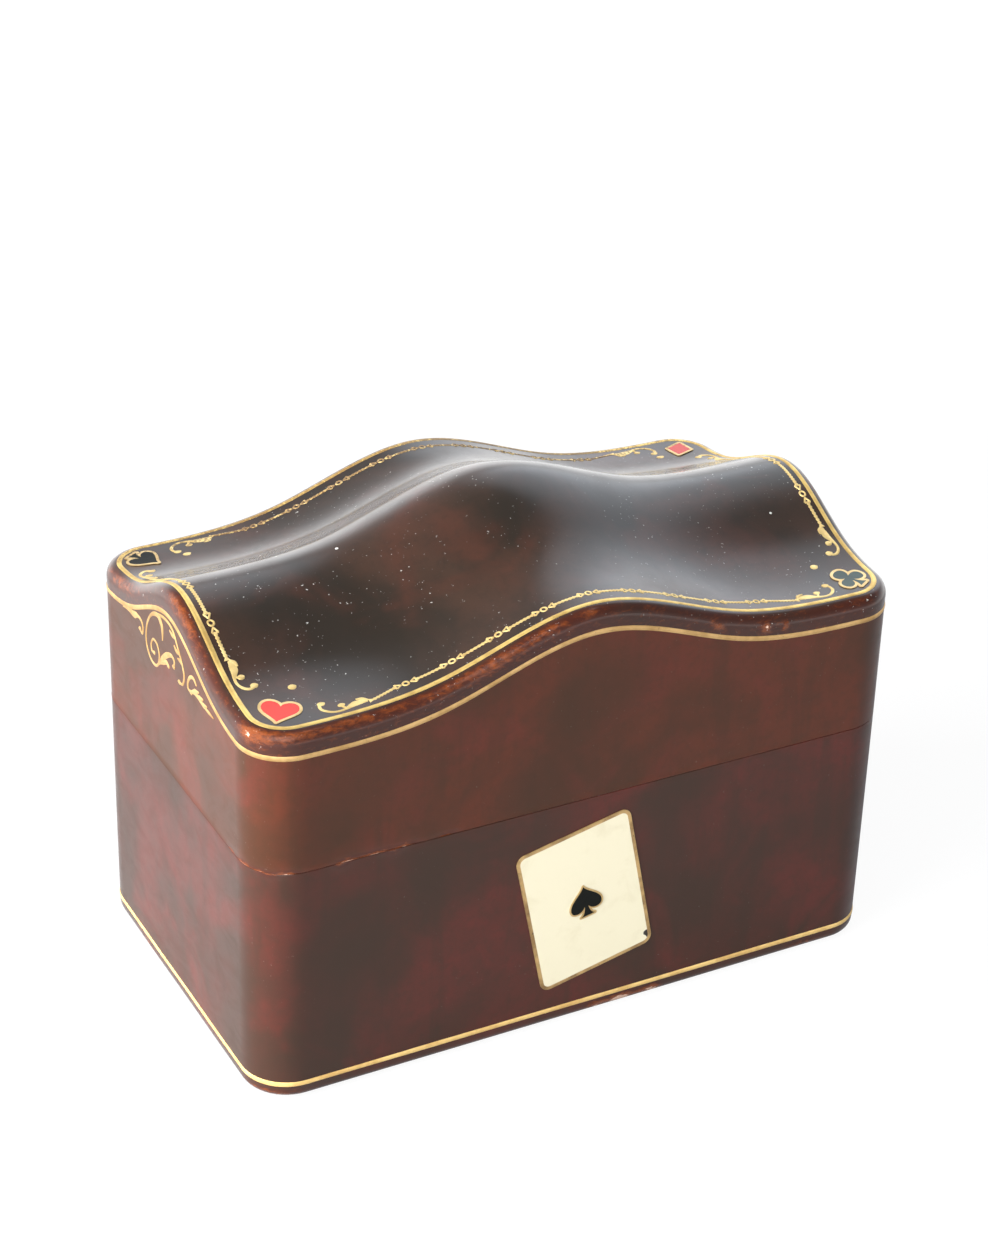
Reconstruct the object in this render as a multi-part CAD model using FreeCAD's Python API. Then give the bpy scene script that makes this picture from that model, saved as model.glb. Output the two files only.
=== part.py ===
"""Playing card box: a leather-covered wooden box with a lift-off swelled lid, for two decks of cards.

Units are millimetres. The origin is the middle of the underside. +X runs to the right along the
front, +Y to the back and +Z up. Each piece is one solid, written to parts/NAME.step.
"""
import FreeCAD, Part
import math
import os

V = FreeCAD.Vector

# ---- Driving dimensions ----

# The box over its leather
box_width = 120.0
box_depth = 70.6
corner_radius = 8.2
seam_height = 44.8              # the base's rim, where the lid sits
lid_corner_height = 25.7        # from the seam to the lid's top at its four corners

# The lid's swell: two bell curves added together, one along the front and one along the sides
front_swell_rise = 10.0
front_swell_span = 106.4        # the whole length of the bell curve along X
side_swell_rise = 9.0
side_swell_span = 69.6          # and along Y

# Rounded edges
lid_edge_rounding = 2.3         # the bullnose round the lid's top
foot_rounding = 1.6             # the lower edge of the base
rim_rounding = 0.25             # the leather's edges at the seam

# The build-up of the walls, from the outside inwards
leather = 0.8
wall = 4.0
collar_board = 1.6
floor_board = 3.2
top_board = 4.0
lining = 0.6                    # the fabric on card inside the lid
underside_lining = 0.5
underside_margin = 3.0          # the underside lining's edge, in from the leather's face
leather_turn_in = 9.0           # how far the leather runs under the base

# The collar that the lid fits over
collar_height = 5.0             # above the seam
collar_clearance = 0.3          # between the collar and the lid's walls
collar_lead_in = 0.6            # the bevel on the collar's top edge
lining_gap = 0.5                # between the collar's top and the lid's side linings

# The compartments
divider = 2.4
divider_drop = 1.0              # the divider's top, below the collar's
divider_housing = 0.6           # how far the divider's ends sit in the collar boards
finger_scoop_radius = 16.0
finger_scoop_depth = 11.0
pad = 1.2
pad_gap = 0.3
pad_rounding = 0.4

# Onlays and gilt lines lie on the leather
onlay = 0.1                     # their thickness
glue_film = 0.02                # between them and the leather
gilt_line = 1.05
base_line_height = 3.4
side_line_gap = 2.0             # the lid's side line, below the bullnose

# The suits at the lid's corners
suit_height = 5.6
suit_outline = 0.5
suit_turn = 32.0                # degrees, from the Y axis towards the corner
suit_gap = 0.8                  # between a suit's foot and the gilt line, before the shift
suit_shift = 0.55               # how much nearer the box's ends the suits then sit

# The ace of spades on the base's front
card_thickness = 0.3
card_margin = 3.7               # clear leather above and below the card
card_proportion = 0.745         # width over height
card_tilt = 12.0                # degrees, anticlockwise as seen from the front
card_offset = -0.3              # the card's middle, along X
card_corner_radius = 1.8
card_border = 0.65
card_pip_height = 6.2
card_pip_outline = 0.3

# ---- Levels and insets worked out from the driving dimensions ----

leather_foot = underside_lining
carcass_foot = leather_foot + leather
floor_top = carcass_foot + floor_board
carcass_rim = seam_height - leather
lid_carcass_rim = seam_height + leather
collar_top = seam_height + collar_height
base_inside = leather + wall                     # inset of the base's inner wall faces
compartment_inside = base_inside + collar_board
lid_inside = base_inside - collar_clearance      # inset of the lid's inner wall faces
board_underside = leather + top_board            # drop from the lid's surface
lid_corner_top = seam_height + lid_corner_height
lid_peak = lid_corner_top + front_swell_rise + side_swell_rise
side_line_drop = lid_edge_rounding + side_line_gap

REACH = 10.0                    # how far cutting tools run past what they cut


# ---- Forms ----

def rounded_plan(inset, radius=corner_radius):
    """A face in the XY plane: the box's outline drawn in by inset, with round corners."""
    half_x, half_y = box_width / 2 - inset, box_depth / 2 - inset
    r = radius - inset
    if r <= 0:
        corners = [V(-half_x, -half_y), V(half_x, -half_y), V(half_x, half_y), V(-half_x, half_y)]
        return Part.Face(Part.makePolygon(corners + corners[:1]))
    arcs = []
    for x, y, start in ((half_x, -half_y, -90), (half_x, half_y, 0), (-half_x, half_y, 90), (-half_x, -half_y, 180)):
        centre = V(x - math.copysign(r, x), y - math.copysign(r, y))
        points = [centre + V(r * math.cos(math.radians(start + a)), r * math.sin(math.radians(start + a)))
                  for a in (0, 45, 90)]
        arcs.append(points)
    edges = []
    for before, here in zip(arcs[-1:] + arcs[:-1], arcs):
        edges.append(Part.LineSegment(before[2], here[0]).toShape())
        edges.append(Part.Arc(*here).toShape())
    return Part.Face(Part.Wire(edges))


def prism(face, low, high):
    """The upright solid on a face of the XY plane, from one height to another."""
    moved = face.copy()
    moved.translate(V(0, 0, low))
    return moved.extrude(V(0, 0, high - low))


def rectangle(inset):
    """A face in the XY plane: the box's outline drawn in by inset, with square corners."""
    return rounded_plan(inset, radius=0.0)


def block(x0, x1, y0, y1, z0, z1):
    """A box between two corners."""
    return Part.makeBox(x1 - x0, y1 - y0, z1 - z0, V(x0, y0, z0))


def one_solid(shape):
    """The only solid in a shape."""
    solids = shape.Solids
    if len(solids) != 1:
        raise ValueError("expected one solid, found %d" % len(solids))
    return solids[0]


def bell_knots(span, size):
    """Knots of a cubic spline along one side, with the bell curve between the inner five."""
    reach = max(size, span) / 2 + REACH
    step = span / 4
    return [-reach] + [step * k for k in (-2, -1, 0, 1, 2)] + [reach]


def pole_places(knots):
    """Where the nine poles of a cubic spline lie so that its parameter is the coordinate itself."""
    padded = knots[:1] * 3 + knots + knots[-1:] * 3
    return [sum(padded[i + 1:i + 4]) / 3 for i in range(9)]


def under_swell(drop):
    """Everything below the lid's top surface, lowered by drop.

    The height is the corner height plus a bell curve of x plus a bell curve of y. A cubic spline
    bell peaks at 2/3 of its one raised pole, so that pole stands 3/2 of the rise.
    """
    x_knots = bell_knots(front_swell_span, box_width)
    y_knots = bell_knots(side_swell_span, box_depth)
    multiplicities = [4, 1, 1, 1, 1, 1, 4]
    middle = 4
    poles = [[V(x, y, lid_corner_top - drop
                + (1.5 * front_swell_rise if i == middle else 0.0)
                + (1.5 * side_swell_rise if j == middle else 0.0))
              for j, y in enumerate(pole_places(y_knots))]
             for i, x in enumerate(pole_places(x_knots))]
    surface = Part.BSplineSurface()
    surface.buildFromPolesMultsKnots(poles, multiplicities, multiplicities, x_knots, y_knots,
                                     False, False, 3, 3)
    return surface.toShape().extrude(V(0, 0, -(lid_peak + REACH)))


def lid_form(inset):
    """The lid's whole outer form, drawn in by inset, down to the seam or to the carcass's rim."""
    foot = seam_height + max(inset, 0.0)
    column = prism(rounded_plan(inset), foot, lid_peak + REACH)
    body = one_solid(column.common(under_swell(inset)))
    swell = [face for face in body.Faces if isinstance(face.Surface, Part.BSplineSurface)]
    return body.makeFillet(lid_edge_rounding - inset, swell[0].Edges)


def base_form(inset):
    """The base's whole outer form, drawn in by inset, with its rounded foot."""
    body = prism(rounded_plan(inset), leather_foot + inset, seam_height - inset)
    return round_rim(body, leather_foot + inset, foot_rounding - inset)


def round_rim(body, level, radius):
    """Round every edge that lies flat at one level."""
    edges = [edge for edge in body.Edges
             if abs(edge.BoundBox.ZMin - level) < 1e-4 and abs(edge.BoundBox.ZMax - level) < 1e-4]
    return body.makeFillet(radius, edges)


def side_wedges(low, high):
    """Four upright wedges that cut a ring of walls into mitred front, back, left and right boards."""
    half_x, half_y = box_width / 2 + REACH, box_depth / 2 + REACH
    ridge = half_x - half_y
    outline = {
        "front": [V(-half_x, -half_y), V(half_x, -half_y), V(ridge, 0), V(-ridge, 0)],
        "back": [V(half_x, half_y), V(-half_x, half_y), V(-ridge, 0), V(ridge, 0)],
        "left": [V(-half_x, half_y), V(-half_x, -half_y), V(-ridge, 0)],
        "right": [V(half_x, -half_y), V(half_x, half_y), V(ridge, 0)],
    }
    return {side: prism(Part.Face(Part.makePolygon(points + points[:1])), low, high)
            for side, points in outline.items()}


def mitred(ring):
    """The four boards of a ring of walls, cut at 45 degrees through the box's corners."""
    wedges = side_wedges(-REACH, lid_peak + REACH)
    return {side: one_solid(ring.common(wedge)) for side, wedge in wedges.items()}


# ---- Outlines of the suits, drawn 1 high about their middle, with the top along +Y ----

def outline_face(right_half):
    """A face from the curves of its right half, each a list of Bezier points, mirrored in the Y axis."""
    edges = []
    for sign in (1, -1):
        for points in right_half:
            curve = Part.BezierCurve()
            curve.setPoles([V(sign * x, y) for x, y in points])
            edges.append(curve.toShape())
    return Part.Face(Part.Wire(Part.__sortEdges__(edges)))


def heart_face():
    """A heart: two lobes that meet in a notch, and a tip below."""
    return outline_face([
        [(0, 0.28), (0.08, 0.55), (0.54, 0.60), (0.54, 0.20)],
        [(0.54, 0.20), (0.54, -0.06), (0.16, -0.24), (0, -0.5)],
    ])


def spade_face():
    """A spade: a tip above, two lobes, and a flared stem."""
    return outline_face([
        [(0, 0.5), (0.10, 0.28), (0.48, 0.12), (0.48, -0.14)],
        [(0.48, -0.14), (0.48, -0.38), (0.16, -0.38), (0.06, -0.18)],
        [(0.06, -0.18), (0.07, -0.34), (0.12, -0.46), (0.22, -0.5)],
        [(0.22, -0.5), (0, -0.5)],
    ])


def diamond_face():
    """A diamond with straight sides."""
    return outline_face([[(0, 0.5), (0.38, 0)], [(0.38, 0), (0, -0.5)]])


def club_face():
    """A club: three round leaves and a flared stem, as one outline."""
    return outline_face([
        [(0, 0.5), (0.32, 0.5), (0.32, 0.20), (0.11, 0.08)],
        [(0.11, 0.08), (0.24, 0.10), (0.53, 0.12), (0.51, -0.14)],
        [(0.51, -0.14), (0.48, -0.40), (0.14, -0.36), (0.05, -0.14)],
        [(0.05, -0.14), (0.06, -0.32), (0.12, -0.46), (0.20, -0.5)],
        [(0.20, -0.5), (0, -0.5)],
    ])


def sized(face, height):
    """The unit outline at its real height."""
    scaled = face.copy()
    scaled.scale(height)
    return scaled


def grown(face, width):
    """A face with a margin of the given width added all round, its edges turned into splines."""
    return face.makeOffset2D(width).toNurbs().Faces[0]


# ---- The base ----

def base_parts():
    parts = {}
    inner_room = prism(rectangle(base_inside), carcass_foot, seam_height + REACH)
    compartments = prism(rectangle(compartment_inside), floor_top, collar_top + REACH)

    # The leather turns in under the foot and over the rim, as far as the collar
    skin = round_rim(base_form(0.0), seam_height, rim_rounding)
    window = prism(rectangle(leather_turn_in), 0, carcass_foot)
    skin = skin.cut([base_form(leather), inner_room, window])

    walls = base_form(leather).cut(inner_room)
    for side, board in mitred(walls).items():
        parts["base_%s_board" % side] = board
    parts["base_floor_board"] = prism(rectangle(base_inside), carcass_foot, floor_top)
    parts["base_underside_lining"] = prism(rounded_plan(underside_margin), 0, underside_lining)

    # The collar boards line the base and stand above its rim
    collar = prism(rectangle(base_inside), floor_top, collar_top)
    top_edges = [edge for edge in collar.Edges if edge.BoundBox.ZMin > collar_top - 1e-4]
    collar = collar.makeChamfer(collar_lead_in, top_edges).cut(compartments)

    # The divider stands in housings in the left and right collar boards
    divider_top = collar_top - divider_drop
    end = box_width / 2 - compartment_inside + divider_housing
    slot = block(-end, end, -divider / 2, divider / 2, floor_top, collar_top)
    collar = collar.cut(slot)
    board = block(-end, end, -divider / 2, divider / 2, floor_top, divider_top)
    scoop_height = divider_top - finger_scoop_depth + finger_scoop_radius
    scoop = Part.makeCylinder(finger_scoop_radius, divider * 2, V(0, -divider, scoop_height), V(0, 1, 0))
    parts["compartment_divider"] = one_solid(board.cut(scoop))
    for side, board in mitred(collar).items():
        parts["collar_%s_board" % side] = board

    # A padded card in the bottom of each compartment
    pad_x = box_width / 2 - compartment_inside - pad_gap
    near, far = divider / 2 + pad_gap, box_depth / 2 - compartment_inside - pad_gap
    for name, y0, y1 in (("front", -far, -near), ("back", near, far)):
        sheet = block(-pad_x, pad_x, y0, y1, floor_top, floor_top + pad)
        parts["%s_compartment_pad" % name] = round_rim(sheet, floor_top + pad, pad_rounding)

    # The gilt line round the foot
    band = (base_line_height - gilt_line / 2, base_line_height + gilt_line / 2)
    parts["base_gilt_line"] = one_solid(
        prism(rounded_plan(-glue_film - onlay), *band).cut(prism(rounded_plan(-glue_film), *band)))

    ace, pocket = ace_card_parts()
    parts.update(ace)
    parts["base_leather_cover"] = one_solid(skin.cut(pocket))
    return parts


def card_placed(face, depth, relief):
    """A face of the card's own plane, stood up in the base's front at the card's tilt.

    It runs from depth behind the leather's face to relief in front of it.
    """
    low_edge = base_line_height + gilt_line / 2
    card_middle = (low_edge + seam_height) / 2
    solid = prism(face, -depth, relief)
    solid.rotate(V(0, 0, 0), V(0, 0, 1), card_tilt)
    solid.rotate(V(0, 0, 0), V(1, 0, 0), 90)
    solid.translate(V(card_offset, -box_depth / 2, card_middle))
    return solid


def card_outline(width, height, radius):
    """A rounded rectangle about the origin."""
    sheet = block(-width / 2, width / 2, -height / 2, height / 2, 0, 1)
    upright = [edge for edge in sheet.Edges if edge.BoundBox.ZLength > 0.5]
    rounded = sheet.makeFillet(radius, upright)
    return next(face for face in rounded.Faces if face.BoundBox.ZMax < 1e-6)


def ace_card_parts():
    tilt = math.radians(card_tilt)
    room = seam_height - base_line_height - gilt_line / 2 - 2 * card_margin
    height = room / (math.cos(tilt) + card_proportion * math.sin(tilt))
    width = height * card_proportion
    sunk = card_thickness - onlay
    whole_face = card_outline(width, height, card_corner_radius)
    field_face = card_outline(width - 2 * card_border, height - 2 * card_border,
                              card_corner_radius - card_border)
    pip_face = sized(spade_face(), card_pip_height)
    field = card_placed(field_face, sunk, onlay)
    # The pip and its outline are laid on the card's face
    pip = card_placed(pip_face, -onlay, 2 * onlay)
    pip_with_outline = card_placed(grown(pip_face, card_pip_outline), -onlay, 2 * onlay)
    parts = {
        "ace_card_gilt_border": one_solid(card_placed(whole_face, sunk, onlay).cut(field)),
        "ace_card_plaque": field,
        "ace_spade_gilt_outline": one_solid(pip_with_outline.cut(pip)),
        "ace_spade_pip": pip,
    }
    return parts, card_placed(whole_face, sunk, onlay)


# ---- The lid ----

def lid_parts():
    parts = {}
    below_board = under_swell(board_underside)
    inner_column = prism(rectangle(lid_inside), seam_height - REACH, lid_peak)
    inner_room = one_solid(inner_column.common(below_board))

    carcass = lid_form(leather)
    parts["lid_top_board"] = one_solid(carcass.cut(below_board))
    walls = carcass.common(below_board).cut(inner_room)
    for side, board in mitred(walls).items():
        parts["lid_%s_board" % side] = board

    # Linings: a ceiling under the top board, and four strips above the collar
    below_ceiling = under_swell(board_underside + lining)
    parts["lid_ceiling_lining"] = one_solid(inner_room.cut(below_ceiling))
    lining_foot = collar_top + lining_gap
    strips = prism(rectangle(lid_inside), lining_foot, lid_peak)
    strips = strips.cut(prism(rectangle(lid_inside + lining), lining_foot, lid_peak)).common(below_ceiling)
    for side, strip in mitred(strips).items():
        parts["lid_%s_lining" % side] = strip

    # Onlays and gilt lines are pieces of a thin layer over the leather
    layer = lid_form(-glue_film - onlay).cut(lid_form(-glue_film))
    half = gilt_line / 2
    ring = prism(rounded_plan(lid_edge_rounding - half), seam_height, lid_peak + REACH)
    ring = ring.cut(prism(rounded_plan(lid_edge_rounding + half), seam_height, lid_peak + REACH))
    parts["lid_upper_gilt_line"] = one_solid(layer.common(ring))
    band = under_swell(side_line_drop - half).cut(under_swell(side_line_drop + half))
    parts["lid_side_gilt_line"] = one_solid(layer.common(band))
    parts.update(suit_parts(layer))

    # The leather: one piece over the top and the bullnose, one strip round the sides
    skin = round_rim(lid_form(0.0), seam_height, rim_rounding).cut([carcass, inner_room])
    below_line = under_swell(side_line_drop)
    parts["lid_leather_top"] = one_solid(skin.cut(below_line))
    parts["lid_leather_sides"] = one_solid(skin.common(below_line))
    return parts


def suit_parts(layer):
    """The four suits and their gilt outlines, one at each corner, each pointing at its corner."""
    suits = {
        "heart": (heart_face, -1, -1),
        "spade": (spade_face, -1, 1),
        "diamond": (diamond_face, 1, 1),
        "club": (club_face, 1, -1),
    }
    # A suit's middle lies on a line from the middle of the corner's round towards the corner, and
    # is then shifted towards the box's end
    line_inside = corner_radius - lid_edge_rounding - gilt_line / 2
    towards_corner = line_inside - suit_gap - suit_outline - suit_height / 2
    setback_x = corner_radius - suit_shift - towards_corner * math.sin(math.radians(suit_turn))
    setback_y = corner_radius - towards_corner * math.cos(math.radians(suit_turn))
    parts = {}
    for name, (draw, side_x, side_y) in suits.items():
        face = sized(draw(), suit_height)
        outlined = grown(face, suit_outline)
        place = V(side_x * (box_width / 2 - setback_x), side_y * (box_depth / 2 - setback_y), 0)
        turn = suit_angle(side_x, side_y)
        solids = []
        for shape in (face, outlined):
            column = prism(shape, seam_height, lid_peak + REACH)
            column.rotate(V(0, 0, 0), V(0, 0, 1), turn)
            column.translate(place)
            solids.append(one_solid(column.common(layer)))
        parts["%s_onlay" % name] = solids[0]
        parts["%s_gilt_outline" % name] = one_solid(solids[1].cut(solids[0]))
    return parts


def suit_angle(side_x, side_y):
    """Degrees to turn a suit so that its foot, the heart's tip or a stem, points at its corner."""
    half_turn = 180.0 if side_y > 0 else 0.0
    return half_turn - side_x * side_y * suit_turn


def main():
    os.makedirs("parts", exist_ok=True)
    parts = dict(base_parts(), **lid_parts())
    for name, shape in sorted(parts.items()):
        shape.exportStep("parts/%s.step" % name)
        print("%-26s %2d solid %4d faces %10.2f mm3 %s" % (
            name, len(shape.Solids), len(shape.Faces), shape.Volume, "ok" if shape.isValid() else "INVALID"))
    print(len(parts), "parts")


main()
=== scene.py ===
"""The looks of a leather-covered playing card box with a lift-off swelled lid.

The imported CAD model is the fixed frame. This script lays the finished surfaces over it: the aged
leather of the base and the lid, the tooled gilt lines and ornament, and a finish for every piece
of wood, paper, cloth and enamel. Sizes are millimetres in the frame's own axes: +X to the right
along the front, +Y to the back, +Z up. They become metres when a mesh is made.
"""
from __future__ import annotations

import logging
import math
from dataclasses import dataclass, field
from enum import Enum
from typing import Callable, Sequence

import bpy
import numpy as np
from mathutils import Matrix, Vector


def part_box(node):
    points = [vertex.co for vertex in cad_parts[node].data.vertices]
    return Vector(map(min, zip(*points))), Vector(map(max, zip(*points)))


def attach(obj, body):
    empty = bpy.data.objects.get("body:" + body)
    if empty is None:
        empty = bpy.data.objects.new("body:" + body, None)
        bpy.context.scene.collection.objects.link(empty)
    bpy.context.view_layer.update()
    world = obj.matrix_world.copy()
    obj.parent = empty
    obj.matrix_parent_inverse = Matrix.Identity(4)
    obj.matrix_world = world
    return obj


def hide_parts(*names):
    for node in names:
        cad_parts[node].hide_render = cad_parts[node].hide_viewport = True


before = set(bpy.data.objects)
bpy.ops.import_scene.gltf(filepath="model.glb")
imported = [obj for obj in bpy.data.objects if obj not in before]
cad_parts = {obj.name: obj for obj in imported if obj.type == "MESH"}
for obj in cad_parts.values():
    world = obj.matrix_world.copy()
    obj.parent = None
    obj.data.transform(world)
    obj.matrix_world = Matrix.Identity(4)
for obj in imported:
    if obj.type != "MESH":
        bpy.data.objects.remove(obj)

LOG = logging.getLogger("card_box")
MM = 0.001
TINY = 1e-9
LEATHER = 0.8  # the thickness of the leathers
JOINT_DROP = 4.3  # from the lid's top surface down to the joint between its two leathers

Array = np.ndarray
Colour = tuple[float, float, float]
Mark = tuple[float, float, float, float]  # x, y, z and radius
Mapper = Callable[[Array, Array], Array]
Socket = bpy.types.NodeSocket
Input = Socket | float | Sequence[float]  # what a socket takes: an output, a number or a colour


class Body(Enum):
    """The two bodies of the box. The lid lifts off the base."""

    BASE = "base"
    LID = "lid"


class Facing(Enum):
    """A side of the box, by the direction that it faces."""

    FRONT = (0.0, -1.0)
    RIGHT = (1.0, 0.0)
    BACK = (0.0, 1.0)
    LEFT = (-1.0, 0.0)


# ---- Meshes ----


def raised(plan: Array, level: Array | float) -> Array:
    """x, y, z put together from x, y and z.

    Args:
        plan: an array whose last axis is x, y.
        level: z of each, or one z for all.

    Returns:
        An array whose last axis is x, y, z.
    """
    return np.concatenate([plan, np.broadcast_to(level, plan.shape[:-1])[..., None]], -1)


def quads(index: Array, wrap_rows: bool = False, wrap_columns: bool = False,
          flip: bool = False) -> Array:
    """The four-sided faces between neighbouring entries of a grid of vertex numbers.

    Args:
        index: vertex numbers, rows by columns.
        wrap_rows: also join the last row to the first.
        wrap_columns: also join the last column to the first.
        flip: turn every face over.

    Returns:
        Faces, one row of four vertex numbers each.
    """
    if wrap_rows:
        index = np.vstack([index, index[:1]])
    if wrap_columns:
        index = np.hstack([index, index[:, :1]])
    faces = np.stack([index[:-1, :-1], index[:-1, 1:], index[1:, 1:], index[1:, :-1]], -1)
    faces = faces.reshape(-1, 4)
    return faces[:, ::-1] if flip else faces


def add_object(name: str, data: bpy.types.ID) -> bpy.types.Object:
    """Make an object of a mesh, a lamp or a camera, and put it in the scene.

    Args:
        name: the object's name.
        data: the mesh, lamp or camera.

    Returns:
        The new object.
    """
    made = bpy.data.objects.new(name, data)
    bpy.context.scene.collection.objects.link(made)
    return made


class Draft:
    """Points, faces and the rubbing of each point, gathered for one mesh."""

    def __init__(self) -> None:
        """Start with nothing."""
        self.points: list[Array] = []
        self.faces: list[list[int]] = []
        self.rubs: list[Array] = []
        self.count = 0

    def add_points(self, points: Array, rub: Array | float = 0.0) -> Array:
        """Add points.

        Args:
            points: any array whose last axis is x, y, z.
            rub: how much handling has rubbed each point, 0 to 1.

        Returns:
            The points' numbers, in the shape that they came in.
        """
        shape = points.shape[:-1]
        size = int(np.prod(shape))
        self.points.append(points.reshape(-1, 3))
        self.rubs.append(np.broadcast_to(rub, shape).reshape(-1))
        self.count += size
        return np.arange(self.count - size, self.count).reshape(shape)

    def add_faces(self, faces: Array) -> None:
        """Add faces, given as rows of point numbers."""
        self.faces.extend(faces.tolist())

    def piece(self, name: str, body: Body, slot: str, material: bpy.types.Material,
              stands_for: Sequence[str] = (), crease: float = 40.0) -> bpy.types.Object:
        """Make the object.

        Args:
            name: the piece's name.
            body: the body that it moves with.
            slot: the record's material slot; not used.
            material: its finish.
            stands_for: the CAD nodes that it replaces.
            crease: edges sharper than this many degrees stay sharp.

        Returns:
            The new object, riding on its body.
        """
        mesh = bpy.data.meshes.new(name)
        mesh.from_pydata((np.concatenate(self.points) * MM).tolist(), [], self.faces)
        rubbing = mesh.attributes.new("rub", "FLOAT", "POINT")
        rubbing.data.foreach_set("value", np.concatenate(self.rubs).astype(np.float32))
        mesh.shade_smooth()
        mesh.set_sharp_from_angle(angle=math.radians(crease))
        mesh.materials.append(material)
        mesh.update()
        made = add_object(name, mesh)
        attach(made, body.value)
        if stands_for:
            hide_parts(*stands_for)
        LOG.info("%s: %d points, %d faces", name, self.count, len(self.faces))
        return made


# ---- Forms ----


@dataclass(frozen=True)
class Unevenness:
    """The slight waviness of hand-laid leather.

    The value at a point is a sum of sine waves. Each wave has its own random direction, phase and
    length, and is as high as it is long, so that all of them tilt the surface alike.
    """

    height: float
    shortest: float
    longest: float
    seed: int
    waves: int = 26
    crest: float = 3.5

    def at(self, points: Array) -> Array:
        """How far out the surface stands at each point.

        Args:
            points: an array whose last axis is x, y, z.

        Returns:
            Heights, with a root mean square of self.height.
        """
        random = np.random.default_rng(self.seed)
        directions = random.normal(size=(self.waves, 3))
        directions /= np.linalg.norm(directions, axis=1, keepdims=True)
        lengths = np.exp(random.uniform(np.log(self.shortest), np.log(self.longest), self.waves))
        phases = random.uniform(0.0, 2.0 * np.pi, self.waves)
        heights = lengths * self.height * math.sqrt(2.0) / np.linalg.norm(lengths)
        turns = points @ (directions * (2.0 * np.pi / lengths)[:, None]).T + phases
        return np.sin(turns) @ heights

    def sunk(self, points: Array) -> Array:
        """The same waviness, but all of it inwards of the surface."""
        return self.at(points) - self.crest * self.height


@dataclass(frozen=True)
class Plan:
    """The box's outline from above: a rectangle with four round corners.

    A station is one step round the outline, anticlockwise from the front's left end. It has a
    centre, on the rectangle that joins the four corners' centres, and an outward direction. The
    outline drawn in by an inset lies at centre + direction * (corner radius - inset).
    """

    width: float
    depth: float
    corner_radius: float
    front_steps: int = 200
    side_steps: int = 104
    corner_steps: int = 12

    def side_stations(self) -> tuple[Array, Array]:
        """The stations of the right side with both its corners, from the front to the back.

        Returns:
            Centres and directions, each one row per station.
        """
        half_x = self.width / 2 - self.corner_radius
        half_y = self.depth / 2 - self.corner_radius
        quarter = np.linspace(0.0, np.pi / 2, self.corner_steps + 1)
        straight = np.linspace(-half_y, half_y, self.side_steps + 1)[1:-1]
        turn = np.concatenate([quarter - np.pi / 2, 0.0 * straight, quarter])
        level = np.concatenate([0.0 * quarter - half_y, straight, 0.0 * quarter + half_y])
        centres = np.stack([0.0 * level + half_x, level], -1)
        return centres, np.stack([np.cos(turn), np.sin(turn)], -1)

    def stations(self) -> tuple[Array, Array]:
        """All the stations round the outline: their centres and directions.

        Returns:
            Centres and directions, each one row per station.
        """
        centres, directions = self.side_stations()
        half_x, half_y = centres[0, 0], -centres[0, 1]
        share = np.linspace(-1.0, 1.0, self.front_steps + 1)[:-1]
        front = np.stack([half_x * share, 0.0 * share - half_y], -1)
        outward = np.broadcast_to(Facing.FRONT.value, front.shape)
        half = np.concatenate([front, centres[:-1]])
        half_directions = np.concatenate([outward, directions[:-1]])
        # The second half is the first, turned half way round
        return np.concatenate([half, -half]), np.concatenate([half_directions, -half_directions])

    def loop(self, inset: float, squared: bool = False) -> Array:
        """The outline drawn in by an inset.

        Args:
            inset: how far inside the outline.
            squared: carry the round corners out to square ones.

        Returns:
            x and y of each station.
        """
        centres, directions = self.stations()
        if squared:
            directions = directions / np.abs(directions).max(axis=1, keepdims=True)
        return centres + directions * (self.corner_radius - inset)

    def grid(self, inset: float) -> Array:
        """Points that fill the outline drawn in by an inset.

        Each row runs straight across from the left side to the right, in equal steps, and its
        two ends lie on the outline.

        Args:
            inset: how far inside the outline.

        Returns:
            x and y, rows by columns.
        """
        centres, directions = self.side_stations()
        ends = centres + directions * (self.corner_radius - inset)
        share = np.linspace(-1.0, 1.0, self.front_steps + 1)
        x = ends[:, :1] * share
        return np.stack([x, np.broadcast_to(ends[:, 1:], x.shape)], -1)

    @staticmethod
    def rim(index: Array) -> Array:
        """The numbers on a grid's edge, in the order of the stations."""
        half = np.concatenate([index[0, :-1], index[:-1, -1]])
        return np.concatenate([half, index[-1, :0:-1], index[:0:-1, 0]])


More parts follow.
